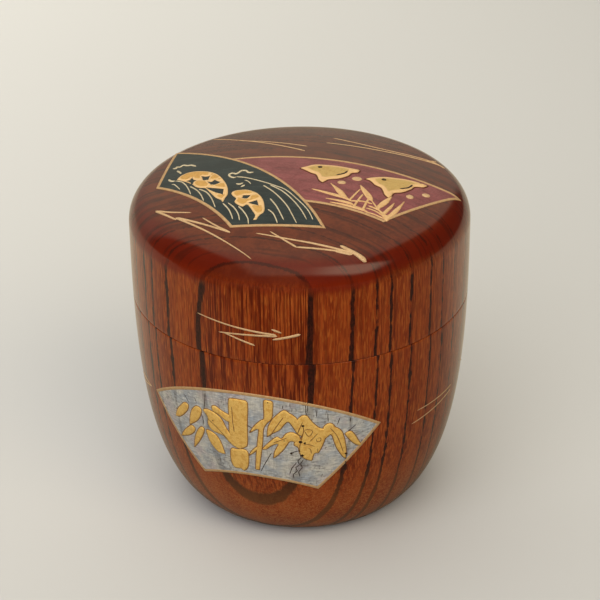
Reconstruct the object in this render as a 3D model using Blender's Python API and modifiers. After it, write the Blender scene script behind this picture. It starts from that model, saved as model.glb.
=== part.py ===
"""Turned wooden tea caddy: a rounded body with a lip, and a lid that lifts off the lip.

The fans, pine needles and bamboo that ornament it are thin layers that follow the turned
surface. Sizes are in metres; the caddy stands on z = 0 and its axis is the Z axis.
"""
from math import asin, cos, pi, radians, sin, sqrt
from typing import NamedTuple

import bmesh
import bpy
from mathutils import Matrix, Vector

# Outer form of the closed caddy
HEIGHT = 0.0695
WIDEST_RADIUS = 0.0335
LID_HEIGHT = 0.02425
CROWN_RADIUS = 0.120
SHOULDER_RADIUS = 0.0059
FOOT_RADIUS = 0.0202
FOOT_RISE = radians(25)
SIDE_STRAIGHTNESS = 0.022
FOOT_FULLNESS = 0.0145

# Walls, and the lip that the lid slides over
LID_WALL = 0.0022
LIP_CLEARANCE = 0.0003
LIP_WALL = 0.0016
LIP_HEIGHT = 0.009
SEAM_GAP = 0.0003
BODY_WALL = 0.0028
FLOOR_THICKNESS = 0.004
FLOOR_FILLET = 0.009
FOOT_RING_WIDTH = 0.0028
FOOT_RECESS = 0.0006
EDGE_BREAK = 0.0003

# Ornament layers: how they lie on the wood, and the widths of their lines
LAYER_GAP = 0.0001
LAYER_THICKNESS = 0.00015
BORDER_WIDTH = 0.00055
BORDER_GAP = 0.0001
NEEDLE_HEAD = 0.0005
NEEDLE_TIP = 0.00022
CULM_WIDTH = 0.0034
STEM_BASE = 0.0012
STEM_TIP = 0.0005

# Where the ornament on the side sits; azimuths run from the front towards +X
SILVER_FAN_BELOW_SEAM = 0.007
SIDE_SPRIG_ABOVE_SEAM = 0.0062
BODY_SPRIG_BELOW_SEAM = 0.0172
SILVER_FAN_AZIMUTH = radians(-17)
SIDE_SPRIG_AZIMUTH = radians(-18)
BODY_SPRIG_AZIMUTHS = {"pine_sprig_right": radians(66), "pine_sprig_left": radians(-84)}

# How finely the round shapes are cut
TURNING_STEPS = 64
CROWN_POINTS = 6
SHOULDER_POINTS = 6
SKIRT_POINTS = 3
BELLY_POINTS = 12
HOLLOW_POINTS = 8
ARC_POINTS = 9
RIM_POINTS = 18
WEDGE_POINTS = 4
LEAF_POINTS = 4
SEARCH_STEP = 1e-6
SAME_POINT = 1e-6

# Colour, roughness and metallic value of each finish
LACQUERED_WOOD = ((0.31, 0.10, 0.035), 0.22, 0.0)
GOLD = ((0.72, 0.50, 0.16), 0.38, 0.9)
SILVER = ((0.48, 0.50, 0.50), 0.42, 0.8)
INDIGO = ((0.025, 0.035, 0.04), 0.35, 0.0)
RED = ((0.33, 0.06, 0.08), 0.35, 0.0)

MM = 0.001

seam = HEIGHT - LID_HEIGHT
side_top = HEIGHT - CROWN_RADIUS + sqrt(
    (CROWN_RADIUS - SHOULDER_RADIUS) ** 2 - (WIDEST_RADIUS - SHOULDER_RADIUS) ** 2
)
crown_angle = asin((WIDEST_RADIUS - SHOULDER_RADIUS) / (CROWN_RADIUS - SHOULDER_RADIUS))


class Surface(NamedTuple):
    """A stretch of a turned profile that carries ornament, and the piece that it belongs to."""
    carrier: bpy.types.Object
    profile: list


def clear_scene():
    for item in list(bpy.data.objects):
        bpy.data.objects.remove(item, do_unlink=True)


def new_collection(name):
    made = bpy.data.collections.new(name)
    bpy.context.scene.collection.children.link(made)
    return made


def material(name, finish):
    colour, roughness, metallic = finish
    made = bpy.data.materials.new(name)
    made.use_nodes = True
    shader = made.node_tree.nodes["Principled BSDF"]
    shader.inputs["Base Color"].default_value = (*colour, 1.0)
    shader.inputs["Roughness"].default_value = roughness
    shader.inputs["Metallic"].default_value = metallic
    return made


def arc(centre, radius, start, end, count):
    """Points (across, up) on a circle, from the angle start to the angle end."""
    step = (end - start) / (count - 1)
    return [
        (centre[0] + radius * cos(start + k * step), centre[1] + radius * sin(start + k * step))
        for k in range(count)
    ]


def side_point(t):
    """The outer side below the shoulder, from t = 0 at the widest place to t = 1 at the foot."""
    corners = (
        (WIDEST_RADIUS, side_top),
        (WIDEST_RADIUS, side_top - SIDE_STRAIGHTNESS),
        (FOOT_RADIUS + FOOT_FULLNESS * cos(FOOT_RISE), FOOT_FULLNESS * sin(FOOT_RISE)),
        (FOOT_RADIUS, 0.0),
    )
    weights = ((1 - t) ** 3, 3 * (1 - t) ** 2 * t, 3 * (1 - t) * t ** 2, t ** 3)
    return tuple(sum(w * c[k] for w, c in zip(weights, corners)) for k in (0, 1))


def first_place(test):
    """The smallest t on the outer side for which a test holds."""
    low, high = 0.0, 1.0
    while high - low > SEARCH_STEP:
        middle = (low + high) / 2
        if test(middle):
            high = middle
        else:
            low = middle
    return high


def side_at(height):
    return first_place(lambda t: side_point(t)[1] < height)


def wall_point(t):
    """The hollow's side, an even wall inside the outer side, and how far it leans inwards."""
    run = Vector(side_point(t + SEARCH_STEP)) - Vector(side_point(t - SEARCH_STEP))
    run.normalize()
    across, up = side_point(t)
    return across + run.y * BODY_WALL, up - run.x * BODY_WALL, asin(-run.x)


def fillet_at(t):
    """The radius that touches both the hollow's side at t and its floor."""
    _, up, lean = wall_point(t)
    return (up - FLOOR_THICKNESS) / (1 - sin(lean))


def side(start, end, count):
    return [side_point(start + (end - start) * k / (count - 1)) for k in range(count)]


def crown(below, count):
    """The domed top, from the axis to where the shoulder takes over."""
    centre = (0.0, HEIGHT - CROWN_RADIUS)
    return arc(centre, CROWN_RADIUS - below, pi / 2, pi / 2 - crown_angle, count)


def shoulder(below, count):
    """The rounded edge between the top and the side."""
    centre = (WIDEST_RADIUS - SHOULDER_RADIUS, side_top)
    return arc(centre, SHOULDER_RADIUS - below, pi / 2 - crown_angle, 0.0, count)


def on_axis(point):
    return point[0] < SAME_POINT


def shifted(points, distance):
    """Profile points moved outwards, square to the profile."""
    moved = []
    for k, point in enumerate(points):
        before = points[max(k - 1, 0)]
        after = points[min(k + 1, len(points) - 1)]
        run = Vector((after[0] - before[0], after[1] - before[1])).normalized()
        if on_axis(point):
            run = Vector((1.0, 0.0))
        moved.append((point[0] - run.y * distance, point[1] + run.x * distance))
    return moved


def turned(name, profile, finish, closed=False):
    """A profile in the XZ plane, turned about the Z axis."""
    mesh = bpy.data.meshes.new(name)
    edges = [(k, k + 1) for k in range(len(profile) - 1)]
    if closed:
        edges.append((len(profile) - 1, 0))
    mesh.from_pydata([(across, 0.0, up) for across, up in profile], edges, [])
    made = bpy.data.objects.new(name, mesh)
    caddy.objects.link(made)
    made.data.materials.append(finish)
    screw = made.modifiers.new("Turned", "SCREW")
    screw.axis = "Z"
    screw.steps = TURNING_STEPS
    screw.render_steps = TURNING_STEPS
    screw.use_merge_vertices = True
    screw.merge_threshold = SAME_POINT
    screw.use_smooth_shade = True
    return made


def cutter(name, outlines, placed, low, high):
    """A straight prism on one or more flat outlines; an outline inside another is a hole."""
    curve = bpy.data.curves.new(name, "CURVE")
    curve.dimensions = "2D"
    curve.fill_mode = "BOTH"
    curve.extrude = (high - low) / 2
    for outline in outlines:
        spline = curve.splines.new("POLY")
        spline.points.add(len(outline) - 1)
        for point, (across, up) in zip(spline.points, outline):
            point.co = (across, up, 0.0, 1.0)
        spline.use_cyclic_u = True
    shape = bpy.data.objects.new(name + "_outline", curve)
    cutters.objects.link(shape)
    shape.matrix_world = placed @ Matrix.Translation((0.0, 0.0, (low + high) / 2))
    bpy.context.view_layer.update()
    evaluated = shape.evaluated_get(bpy.context.evaluated_depsgraph_get())
    mesh = bpy.data.meshes.new_from_object(evaluated)
    cleaned = bmesh.new()
    cleaned.from_mesh(mesh)
    bmesh.ops.remove_doubles(cleaned, verts=cleaned.verts, dist=SAME_POINT)
    cleaned.to_mesh(mesh)
    cleaned.free()
    made = bpy.data.objects.new(name, mesh)
    cutters.objects.link(made)
    made.matrix_world = shape.matrix_world.copy()
    bpy.data.objects.remove(shape)
    made.hide_render = True
    made.display_type = "WIRE"
    return made


def boolean(target, operation, other):
    change = target.modifiers.new(operation.title(), "BOOLEAN")
    change.operation = operation
    change.solver = "EXACT"
    change.object = other


def layer(name, surface, level, shapes, finish, without=()):
    """A thin layer inside the given prisms: level 1 lies on the wood, level 2 over a layer."""
    inner = LAYER_GAP + (level - 1) * (LAYER_GAP + LAYER_THICKNESS)
    outside = shifted(surface.profile, inner + LAYER_THICKNESS)
    inside = shifted(surface.profile, inner)
    open_profile = on_axis(surface.profile[0])
    made = turned(name, outside + inside[::-1], finish, closed=not open_profile)
    made.parent = surface.carrier
    whole = shapes[0]
    for other in shapes[1:]:
        boolean(whole, "UNION", other)
    boolean(made, "INTERSECT", whole)
    for other in without:
        boolean(made, "DIFFERENCE", other)
    return made


def inset(outline, distance):
    """A closed anticlockwise outline moved inwards by a distance, with its corners kept sharp."""
    moved = []
    for k, point in enumerate(outline):
        here = Vector(point)
        into = (here - Vector(outline[k - 1])).normalized()
        out = (Vector(outline[(k + 1) % len(outline)]) - here).normalized()
        inward = Vector((-into.y - out.y, into.x + out.x)).normalized()
        lean = inward.dot(Vector((-into.y, into.x)))
        moved.append(tuple(here + inward * (distance / lean)))
    return moved


def fan(outer_middle, facing, outer_radius, outer_half, depth, inner_radius, inner_half):
    """The paper of an open folding fan: two arcs joined by straight sides, anticlockwise."""
    way = Vector((cos(facing), sin(facing)))
    middle = Vector(outer_middle) * MM
    outer_centre = middle - way * outer_radius * MM
    inner_centre = middle - way * (depth + inner_radius) * MM
    outer = arc(outer_centre, outer_radius * MM, facing - outer_half, facing + outer_half, ARC_POINTS)
    inner = arc(inner_centre, inner_radius * MM, facing + inner_half, facing - inner_half, ARC_POINTS)
    return outer + inner


def wrapped(outline):
    """An outline drawn flat on the side, as it shows when seen square to its middle."""
    return [(WIDEST_RADIUS * sin(across / WIDEST_RADIUS), up) for across, up in outline]


def facing_side(azimuth, height):
    """The plane that looks outwards at an azimuth, with its origin on the axis at a height."""
    out = Vector((sin(azimuth), -cos(azimuth), 0.0))
    right = Vector((cos(azimuth), sin(azimuth), 0.0))
    turn = Matrix((right, Vector((0.0, 0.0, 1.0)), out)).transposed().to_4x4()
    return Matrix.Translation((0.0, 0.0, height)) @ turn


def tapered(start, end, start_width, end_width):
    """A straight stroke that narrows from its start to its end."""
    a, b = Vector(start) * MM, Vector(end) * MM
    across = (b - a).normalized().orthogonal()
    wide, narrow = across * start_width / 2, across * end_width / 2
    corners = (a - wide, b - narrow, b + narrow, a + wide)
    return [tuple(corner) for corner in corners]


def needle(head, tip):
    return tapered(head, tip, NEEDLE_HEAD, NEEDLE_TIP)


def culm(base, tip):
    return tapered(base, tip, CULM_WIDTH, CULM_WIDTH)


def stem(base, tip):
    return tapered(base, tip, STEM_BASE, STEM_TIP)


def leaf(base, tip, width):
    """A pointed leaf: two arcs from its base to its tip."""
    a, b = Vector(base) * MM, Vector(tip) * MM
    half = width * MM / 2
    across = (b - a).normalized().orthogonal() * half
    edge = []
    for k in range(LEAF_POINTS + 1):
        share = k / LEAF_POINTS
        edge.append((a.lerp(b, share), across * sin(pi * share)))
    right = [tuple(middle - bulge) for middle, bulge in edge]
    left = [tuple(middle + bulge) for middle, bulge in edge[-2:0:-1]]
    return right + left


def half_wheel(hub, facing, radius, flatness, rim, hub_radius, spokes, spoke_width):
    """The upper half of a cart wheel: its rim, and the wedges left open between its spokes."""
    turn = Matrix.Rotation(facing - pi / 2, 2)
    start = Vector(hub) * MM

    def set_down(points):
        return [tuple(start + turn @ Vector((x, y * flatness))) for x, y in points]

    outlines = [set_down(arc((0.0, 0.0), radius * MM, 0.0, pi, RIM_POINTS))]
    wedge = pi / spokes
    for k in range(spokes):
        low = wedge * k + spoke_width / 2
        high = wedge * (k + 1) - spoke_width / 2
        middle = (low + high) / 2
        point = (hub_radius * MM * cos(middle), hub_radius * MM * sin(middle))
        outer = arc((0.0, 0.0), (radius - rim) * MM, low, high, WEDGE_POINTS)
        outlines.append(set_down([point] + outer))
    return outlines


def inner_middle(outer_middle, facing, depth, **_):
    """The middle of a fan's inner edge."""
    way = Vector((cos(facing), sin(facing)))
    return Vector(outer_middle) - way * depth


def on_lid_at(place):
    """A function that cuts prisms down through the lid, drawn from a place on it."""
    moved = Matrix.Translation((place[0] * MM, place[1] * MM, 0.0))

    def on_lid(name, outlines):
        return cutter(name, outlines, moved, seam, HEIGHT + SHOULDER_RADIUS)

    return on_lid


def on_side_at(azimuth, height):
    """A function that cuts prisms through the side, square to an azimuth."""
    place = facing_side(azimuth, height)

    def on_side(name, outlines):
        return cutter(name, [wrapped(line) for line in outlines], place, 0.0, 2 * WIDEST_RADIUS)

    return on_side


def drawn(name, surface, level, outlines, place):
    """Gold strokes and leaves that are joined where they cross."""
    prisms = [place("%s_%d_cutter" % (name, k + 1), [line]) for k, line in enumerate(outlines)]
    return layer(name, surface, level, prisms, gold)


def fan_panel(name, surface, outline, paper, place, without=()):
    """A coloured fan with a raised gold line round it."""
    border = place(name + "_border_cutter", [outline, inset(outline, BORDER_WIDTH)])
    panel = place(name + "_cutter", [inset(outline, BORDER_WIDTH + BORDER_GAP)])
    layer(name + "_border", surface, 1, [border], gold, without)
    layer(name, surface, 1, [panel], paper, without)


clear_scene()
caddy = new_collection("tea_caddy")
cutters = new_collection("cutters")
wood = material("lacquered_wood", LACQUERED_WOOD)
gold = material("gold_lacquer", GOLD)
silver = material("silver_leaf", SILVER)
indigo = material("indigo_lacquer", INDIGO)
red = material("red_lacquer", RED)

# Lid: an even wall under the crown and shoulder, and a straight bore down to the seam.
skirt_radius = WIDEST_RADIUS - LID_WALL
lid_rim = seam + SEAM_GAP / 2
lid_side = side(0.0, side_at(lid_rim + EDGE_BREAK), SKIRT_POINTS)
lid_profile = (
    crown(0.0, CROWN_POINTS)
    + shoulder(0.0, SHOULDER_POINTS)[1:]
    + lid_side[1:]
    + [
        (lid_side[-1][0] - EDGE_BREAK, lid_rim),
        (skirt_radius + EDGE_BREAK, lid_rim),
        (skirt_radius, lid_rim + EDGE_BREAK),
    ]
    + shoulder(LID_WALL, SHOULDER_POINTS)[::-1]
    + crown(LID_WALL, CROWN_POINTS)[::-1][1:]
)
lid = turned("lid", lid_profile, wood)

# Body: the hollow from its floor up, the lip, the outer side, and the foot ring with its recess.
lip_outer = skirt_radius - LIP_CLEARANCE
lip_inner = lip_outer - LIP_WALL
lip_top = seam + LIP_HEIGHT
body_rim = seam - SEAM_GAP / 2
ring_inner = FOOT_RADIUS - FOOT_RING_WIDTH

bore_end = first_place(lambda t: wall_point(t)[0] < lip_inner)
fillet_end = first_place(lambda t: fillet_at(t) < FLOOR_FILLET)
touch_across, _, touch_lean = wall_point(fillet_end)
fillet = fillet_at(fillet_end)
fillet_centre = (touch_across - fillet * cos(touch_lean), FLOOR_THICKNESS + fillet)
hollow = arc(fillet_centre, fillet, -pi / 2, -touch_lean, SHOULDER_POINTS)
for k in range(1, HOLLOW_POINTS + 1):
    hollow.append(wall_point(fillet_end + (bore_end - fillet_end) * k / HOLLOW_POINTS)[:2])

body_side = side(side_at(body_rim - EDGE_BREAK), 1.0, BELLY_POINTS)
body_profile = (
    [(0.0, FLOOR_THICKNESS)]
    + hollow
    + [
        (lip_inner, lip_top - EDGE_BREAK),
        (lip_inner + EDGE_BREAK, lip_top),
        (lip_outer - EDGE_BREAK, lip_top),
        (lip_outer, lip_top - EDGE_BREAK),
        (lip_outer, body_rim),
        (body_side[0][0] - EDGE_BREAK, body_rim),
    ]
    + body_side
    + [
        (ring_inner, 0.0),
        (ring_inner - FOOT_RECESS, FOOT_RECESS),
        (0.0, FOOT_RECESS),
    ]
)
body = turned("body", body_profile, wood)

# The stretches of the surface that carry ornament.
lid_top = Surface(lid, crown(0.0, CROWN_POINTS) + shoulder(0.0, SHOULDER_POINTS)[1:-1])
lid_skirt = Surface(lid, shoulder(0.0, SHOULDER_POINTS)[1:] + lid_side[1:])
belly = Surface(body, body_side[:-1])

# Fans, in millimetres. On the lid the indigo fan lies over the left part of the red one.
INDIGO_FAN = {
    "outer_middle": (-6.6, 0.9), "facing": radians(37.6), "depth": 16.2,
    "outer_radius": 71.2, "outer_half": radians(20),
    "inner_radius": 55.0, "inner_half": radians(12.8),
}
RED_FAN = {
    "outer_middle": (8.1, 5.6), "facing": radians(75.9), "depth": 18.9,
    "outer_radius": 90.0, "outer_half": radians(16.1),
    "inner_radius": 45.6, "inner_half": radians(16.8),
}
SILVER_FAN = {
    "outer_middle": (0.0, 0.0), "facing": radians(90), "depth": 20.0,
    "outer_radius": 41.3, "outer_half": radians(37.4),
    "inner_radius": 26.5, "inner_half": radians(26.5),
}
on_lid = on_lid_at((0.0, 0.0))
from_indigo = on_lid_at(INDIGO_FAN["outer_middle"])
from_red = on_lid_at(RED_FAN["outer_middle"])
indigo_outline = fan(**INDIGO_FAN)
under_indigo = on_lid("under_indigo_cutter", [inset(indigo_outline, -BORDER_GAP)])
on_silver = on_side_at(SILVER_FAN_AZIMUTH, seam - SILVER_FAN_BELOW_SEAM)
fan_panel("indigo_fan", lid_top, indigo_outline, indigo, on_lid)
fan_panel("red_fan", lid_top, fan(**RED_FAN), red, on_lid, without=[under_indigo])
fan_panel("silver_fan", belly, fan(**SILVER_FAN), silver, on_silver)

# Half wheels over the indigo fan, in millimetres from the middle of its outer edge.
HALF_WHEELS = {
    "half_wheel_large": {
        "hub": (-12.9, -5.1), "facing": radians(38), "radius": 6.9, "flatness": 0.86,
        "rim": 1.9, "hub_radius": 2.0, "spokes": 4, "spoke_width": radians(14),
    },
    "half_wheel_small": {
        "hub": (-4.1, -13.4), "facing": radians(23), "radius": 5.3, "flatness": 0.74,
        "rim": 1.7, "hub_radius": 1.7, "spokes": 3, "spoke_width": radians(22),
    },
}
for name, wheel in HALF_WHEELS.items():
    layer(name, lid_top, 2, [from_indigo(name + "_cutter", half_wheel(**wheel))], gold)

# Two plovers of one pattern, in millimetres from the tip of the beak, anticlockwise. The beaks
# and the reeds are placed from the middle of the red fan's outer edge.
PLOVER = (
    (0.0, 0.0), (2.0, -2.0), (3.0, -4.0), (4.3, -6.4), (7.2, -3.6), (9.4, -1.8),
    (11.5, -0.5), (7.4, 1.0), (2.8, 1.2),
)
PLOVER_BEAKS = {"plover_left": (-7.8, -4.1), "plover_right": (4.8, -8.1)}
for name, (beak_x, beak_y) in PLOVER_BEAKS.items():
    bird = [((beak_x + x) * MM, (beak_y + y) * MM) for x, y in PLOVER]
    layer(name, lid_top, 2, [from_red(name + "_cutter", [bird])], gold)

# Reeds: blades that spread from one root, with four shorter ones on the longest of them.
REED_ROOT = (8.2, -21.2)
REED_TIPS = ((-4.1, -15.8), (-3.5, -17.0), (3.9, -11.1), (9.7, -14.4), (12.4, -15.2))
SIDE_REEDS = (
    needle((1.5, -18.4), (-6.8, -12.6)), needle((1.5, -18.4), (-2.1, -11.0)),
    needle((2.3, -18.7), (3.7, -13.4)), needle((3.3, -19.1), (4.7, -14.6)),
)
reeds = [needle(REED_ROOT, tip) for tip in REED_TIPS]
drawn("reeds", lid_top, 2, reeds + list(SIDE_REEDS), from_red)

# Pine needles on the lid's top, each drawn from its head to its tip, in millimetres.
TOP_SPRIGS = {
    "pine_sprig_front_right": (
        needle((11.8, -28.6), (-7.8, -22.0)), needle((9.0, -27.4), (-0.8, -26.6)),
        needle((-0.8, -26.6), (-5.3, -22.0)), needle((9.2, -28.0), (8.2, -26.0)),
    ),
    "pine_sprig_back_left": (
        needle((-17.0, 23.2), (1.4, 10.6)), needle((-12.6, 20.2), (1.8, 13.2)),
    ),
    "pine_sprig_back_right": (
        needle((29.0, 9.2), (5.6, 15.8)), needle((21.5, 11.3), (6.8, 19.3)),
        needle((29.0, 9.2), (25.2, 11.6)),
    ),
}
for name, needles in TOP_SPRIGS.items():
    drawn(name, lid_top, 1, needles, on_lid)

# The sprig below the indigo fan is placed from the middle of the fan's inner edge.
FAN_SPRIG = (
    needle((-7.4, -0.7), (9.8, -19.4)), needle((-7.4, -0.7), (-2.2, -4.2)),
    needle((-4.3, -4.3), (5.8, -11.6)), needle((5.8, -11.6), (1.1, -6.0)),
)
beside_indigo = on_lid_at(inner_middle(**INDIGO_FAN))
drawn("pine_sprig_front_left", lid_top, 1, FAN_SPRIG, beside_indigo)

# Pine needles on the sides: millimetres along the side from the sprig's middle, and up.
SKIRT_SPRIG = (
    needle((7.0, -0.8), (-10.2, 1.0)), needle((6.8, -0.9), (-5.0, -1.6)),
    needle((-5.0, -1.6), (1.7, -3.1)), needle((5.3, -1.2), (10.2, -0.3)),
    needle((7.0, -0.6), (5.0, 0.5)),
)
BODY_SPRIG = (
    needle((9.5, 1.0), (-13.6, -1.8)), needle((9.5, 1.0), (-12.6, 0.9)),
    needle((9.5, 1.0), (11.5, -1.2)),
)
on_skirt = on_side_at(SIDE_SPRIG_AZIMUTH, seam + SIDE_SPRIG_ABOVE_SEAM)
drawn("pine_sprig_lid_side", lid_skirt, 1, SKIRT_SPRIG, on_skirt)
for name, azimuth in BODY_SPRIG_AZIMUTHS.items():
    drawn(name, belly, 1, BODY_SPRIG, on_side_at(azimuth, seam - BODY_SPRIG_BELOW_SEAM))

# Bamboo over the silver fan, in millimetres from the middle of the fan's top edge.
BAMBOO = {
    "bamboo_culm": (
        culm((-2.7, -2.2), (-2.7, -13.4)),
        leaf((-10.4, -6.0), (-3.4, -12.8), 2.4), leaf((-8.3, -4.9), (-3.8, -8.9), 1.4),
    ),
    "bamboo_culm_foot": (culm((-3.2, -13.8), (-3.2, -18.4)),),
    "bamboo_spray": (
        stem((3.4, -1.8), (0.4, -18.0)),
        leaf((2.9, -5.5), (-0.7, -9.2), 1.2), leaf((1.8, -10.5), (6.8, -3.8), 2.0),
        leaf((6.0, -4.6), (10.6, -7.4), 2.0), leaf((1.4, -11.9), (8.6, -8.2), 1.4),
        leaf((7.4, -8.5), (5.2, -13.0), 1.5), leaf((7.3, -8.7), (12.6, -10.5), 1.9),
        leaf((9.2, -6.0), (15.0, -9.8), 2.5), leaf((11.4, -7.6), (12.6, -14.4), 2.2),
        leaf((13.4, -8.8), (17.2, -6.2), 1.6), leaf((15.6, -6.6), (18.9, -13.8), 2.2),
    ),
    "bamboo_leaf_1": (leaf((-14.7, -6.6), (-19.0, -11.2), 2.0),),
    "bamboo_leaf_2": (leaf((-11.6, -6.4), (-14.6, -11.7), 2.0),),
    "bamboo_leaf_3": (leaf((-14.4, -12.6), (-18.3, -15.9), 1.7),),
    "bamboo_leaf_4": (leaf((-11.6, -11.4), (-14.0, -16.5), 1.6),),
    "bamboo_leaf_5": (leaf((-9.6, -11.4), (-6.0, -16.0), 1.8),),
    "bamboo_leaf_6": (leaf((18.7, -8.8), (21.2, -12.0), 1.3),),
}
for name, outlines in BAMBOO.items():
    drawn(name, belly, 2, outlines, on_silver)
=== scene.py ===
"""A turned tea caddy in open-grained wood under clear red-brown lacquer, with lacquered ornament."""
from math import asin, cos, pi, radians, sin, sqrt

import bpy
import numpy as np
from mathutils import Matrix, Vector
from mathutils.geometry import delaunay_2d_cdt


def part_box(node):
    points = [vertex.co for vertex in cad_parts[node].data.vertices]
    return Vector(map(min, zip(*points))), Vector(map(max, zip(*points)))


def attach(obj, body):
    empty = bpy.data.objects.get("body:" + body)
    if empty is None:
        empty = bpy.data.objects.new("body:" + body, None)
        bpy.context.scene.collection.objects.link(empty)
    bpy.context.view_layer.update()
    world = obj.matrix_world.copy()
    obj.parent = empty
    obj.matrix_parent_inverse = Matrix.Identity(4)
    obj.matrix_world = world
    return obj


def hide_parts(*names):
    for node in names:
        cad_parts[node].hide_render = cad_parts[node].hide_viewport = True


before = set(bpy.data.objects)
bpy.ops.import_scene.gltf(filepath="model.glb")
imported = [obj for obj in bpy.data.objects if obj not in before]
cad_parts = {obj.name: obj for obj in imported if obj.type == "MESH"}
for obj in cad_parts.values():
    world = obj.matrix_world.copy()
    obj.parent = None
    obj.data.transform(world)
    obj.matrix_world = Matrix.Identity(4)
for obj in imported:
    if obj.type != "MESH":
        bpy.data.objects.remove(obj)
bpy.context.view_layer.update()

# Body: the lower part, turned from one block with its grain upright. It swells from a narrow
# foot to the seam, and inside the seam a lip stands up that the lid slides over. The wood is
# filled and coated with clear red-brown lacquer outside and with black lacquer inside.
MM = 0.001
WIDEST_RADIUS, _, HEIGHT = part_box("lid")[1]
CROWN_RADIUS = 120 * MM
SHOULDER_RADIUS = 5.9 * MM
FOOT_RADIUS = 20.2 * MM
FOOT_RISE = radians(25)
SIDE_STRAIGHTNESS = 22 * MM
FOOT_FULLNESS = 14.5 * MM
LID_WALL = 2.2 * MM
LIP_CLEARANCE = 0.3 * MM
LIP_WALL = 1.6 * MM
LIP_HEIGHT = 9 * MM
LIP_ROUNDING = 0.5 * MM
BODY_WALL = 2.8 * MM
FLOOR_THICKNESS = 4 * MM
FLOOR_FILLET = 9 * MM
FOOT_RING_WIDTH = 2.8 * MM
FOOT_RECESS = 0.6 * MM
SEAM_LINE = 0.11 * MM
SEAM_ROUNDING = 0.1 * MM
TURNING_STEPS = 256
SAME_POINT = 1e-6
FILLET_POINTS = 14
HOLLOW_POINTS = 26
SIDE_POINTS = 90
LIP_POINTS = 6
EDGE_POINTS = 4
RELIEF = 0.01 * MM
PITH = (-18.6, -70.6)
PITH_LEAN = (-2.8, 0.8)
RING_FLARE = 1.3
RING_FLARE_TOP = 45.0
FOOT_GRAIN = (9.0, 22.0)
HEART = 42.9
HEART_DRAWN_IN = 0.85
HEART_NARROWS = (50.0, 62.0)
DENSE_PORES = 4.0
POOL_LOWER_EDGE = (-0.8, 0.9)
POOL_UPPER_EDGE = (4.6, 6.3)
# Each ring has its distance from the pith, its half width and how far it breaks up.
GROWTH_RINGS = (
    (HEART, 0.44, 0.25), (48.4, 0.36, 0.7), (52.7, 0.29, 0.7), (55.6, 0.34, 0.8), (60.1, 0.31, 0.8),
    (65.4, 0.27, 0.8), (69.2, 0.25, 0.8), (73.7, 0.27, 0.8), (79.2, 0.24, 0.8), (84.0, 0.2, 0.9),
    (89.5, 0.22, 0.9), (94.5, 0.18, 0.9), (99.0, 0.22, 0.9), (103.5, 0.18, 0.9),
)

lip_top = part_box("body")[1][2]
seam = lip_top - LIP_HEIGHT
side_top = HEIGHT - CROWN_RADIUS + sqrt(
    (CROWN_RADIUS - SHOULDER_RADIUS) ** 2 - (WIDEST_RADIUS - SHOULDER_RADIUS) ** 2
)
crown_angle = asin((WIDEST_RADIUS - SHOULDER_RADIUS) / (CROWN_RADIUS - SHOULDER_RADIUS))


def arc(centre, radius, start, end, count):
    """Points on a circle, from the angle start to the angle end."""
    step = (end - start) / (count - 1)
    return [
        (centre[0] + radius * cos(start + k * step), centre[1] + radius * sin(start + k * step))
        for k in range(count)
    ]


def side_point(t):
    """The outer side below the shoulder, from t = 0 at the widest place to t = 1 at the foot."""
    corners = (
        (WIDEST_RADIUS, side_top),
        (WIDEST_RADIUS, side_top - SIDE_STRAIGHTNESS),
        (FOOT_RADIUS + FOOT_FULLNESS * cos(FOOT_RISE), FOOT_FULLNESS * sin(FOOT_RISE)),
        (FOOT_RADIUS, 0.0),
    )
    weights = ((1 - t) ** 3, 3 * (1 - t) ** 2 * t, 3 * (1 - t) * t ** 2, t ** 3)
    return tuple(sum(w * c[k] for w, c in zip(weights, corners)) for k in (0, 1))


def first_place(test):
    """The smallest t on the outer side for which a test holds."""
    low, high = 0.0, 1.0
    while high - low > SAME_POINT:
        middle = (low + high) / 2
        low, high = (low, middle) if test(middle) else (middle, high)
    return high


def side(start, end, count):
    return [side_point(start + (end - start) * k / (count - 1)) for k in range(count)]


def side_at(height):
    return first_place(lambda t: side_point(t)[1] < height)


def wall_point(t):
    """The hollow's side, an even wall inside the outer side, and how far it leans inwards."""
    run = Vector(side_point(t + SAME_POINT)) - Vector(side_point(t - SAME_POINT))
    run.normalize()
    across, up = side_point(t)
    return across + run.y * BODY_WALL, up - run.x * BODY_WALL, asin(-run.x)


def fillet_at(t):
    """The radius that touches both the hollow's side at t and its floor."""
    _, up, lean = wall_point(t)
    return (up - FLOOR_THICKNESS) / (1 - sin(lean))


class Value:
    """One output in a node tree; arithmetic on it adds Math nodes."""

    def __init__(self, nodes, socket):
        self.nodes = nodes
        self.socket = socket

    def __add__(self, other):
        return self.nodes.maths("ADD", self, other)

    def __sub__(self, other):
        return self.nodes.maths("SUBTRACT", self, other)

    def __rsub__(self, other):
        return self.nodes.maths("SUBTRACT", other, self)

    def __mul__(self, other):
        return self.nodes.maths("MULTIPLY", self, other)

    def __truediv__(self, other):
        return self.nodes.maths("DIVIDE", self, other)

    __radd__ = __add__
    __rmul__ = __mul__


def socket_of(sockets, key):
    """A socket by its identifier, or else by its name or place."""
    named = [socket for socket in sockets if socket.identifier == key]
    return named[0] if named else sockets[key]


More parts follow.
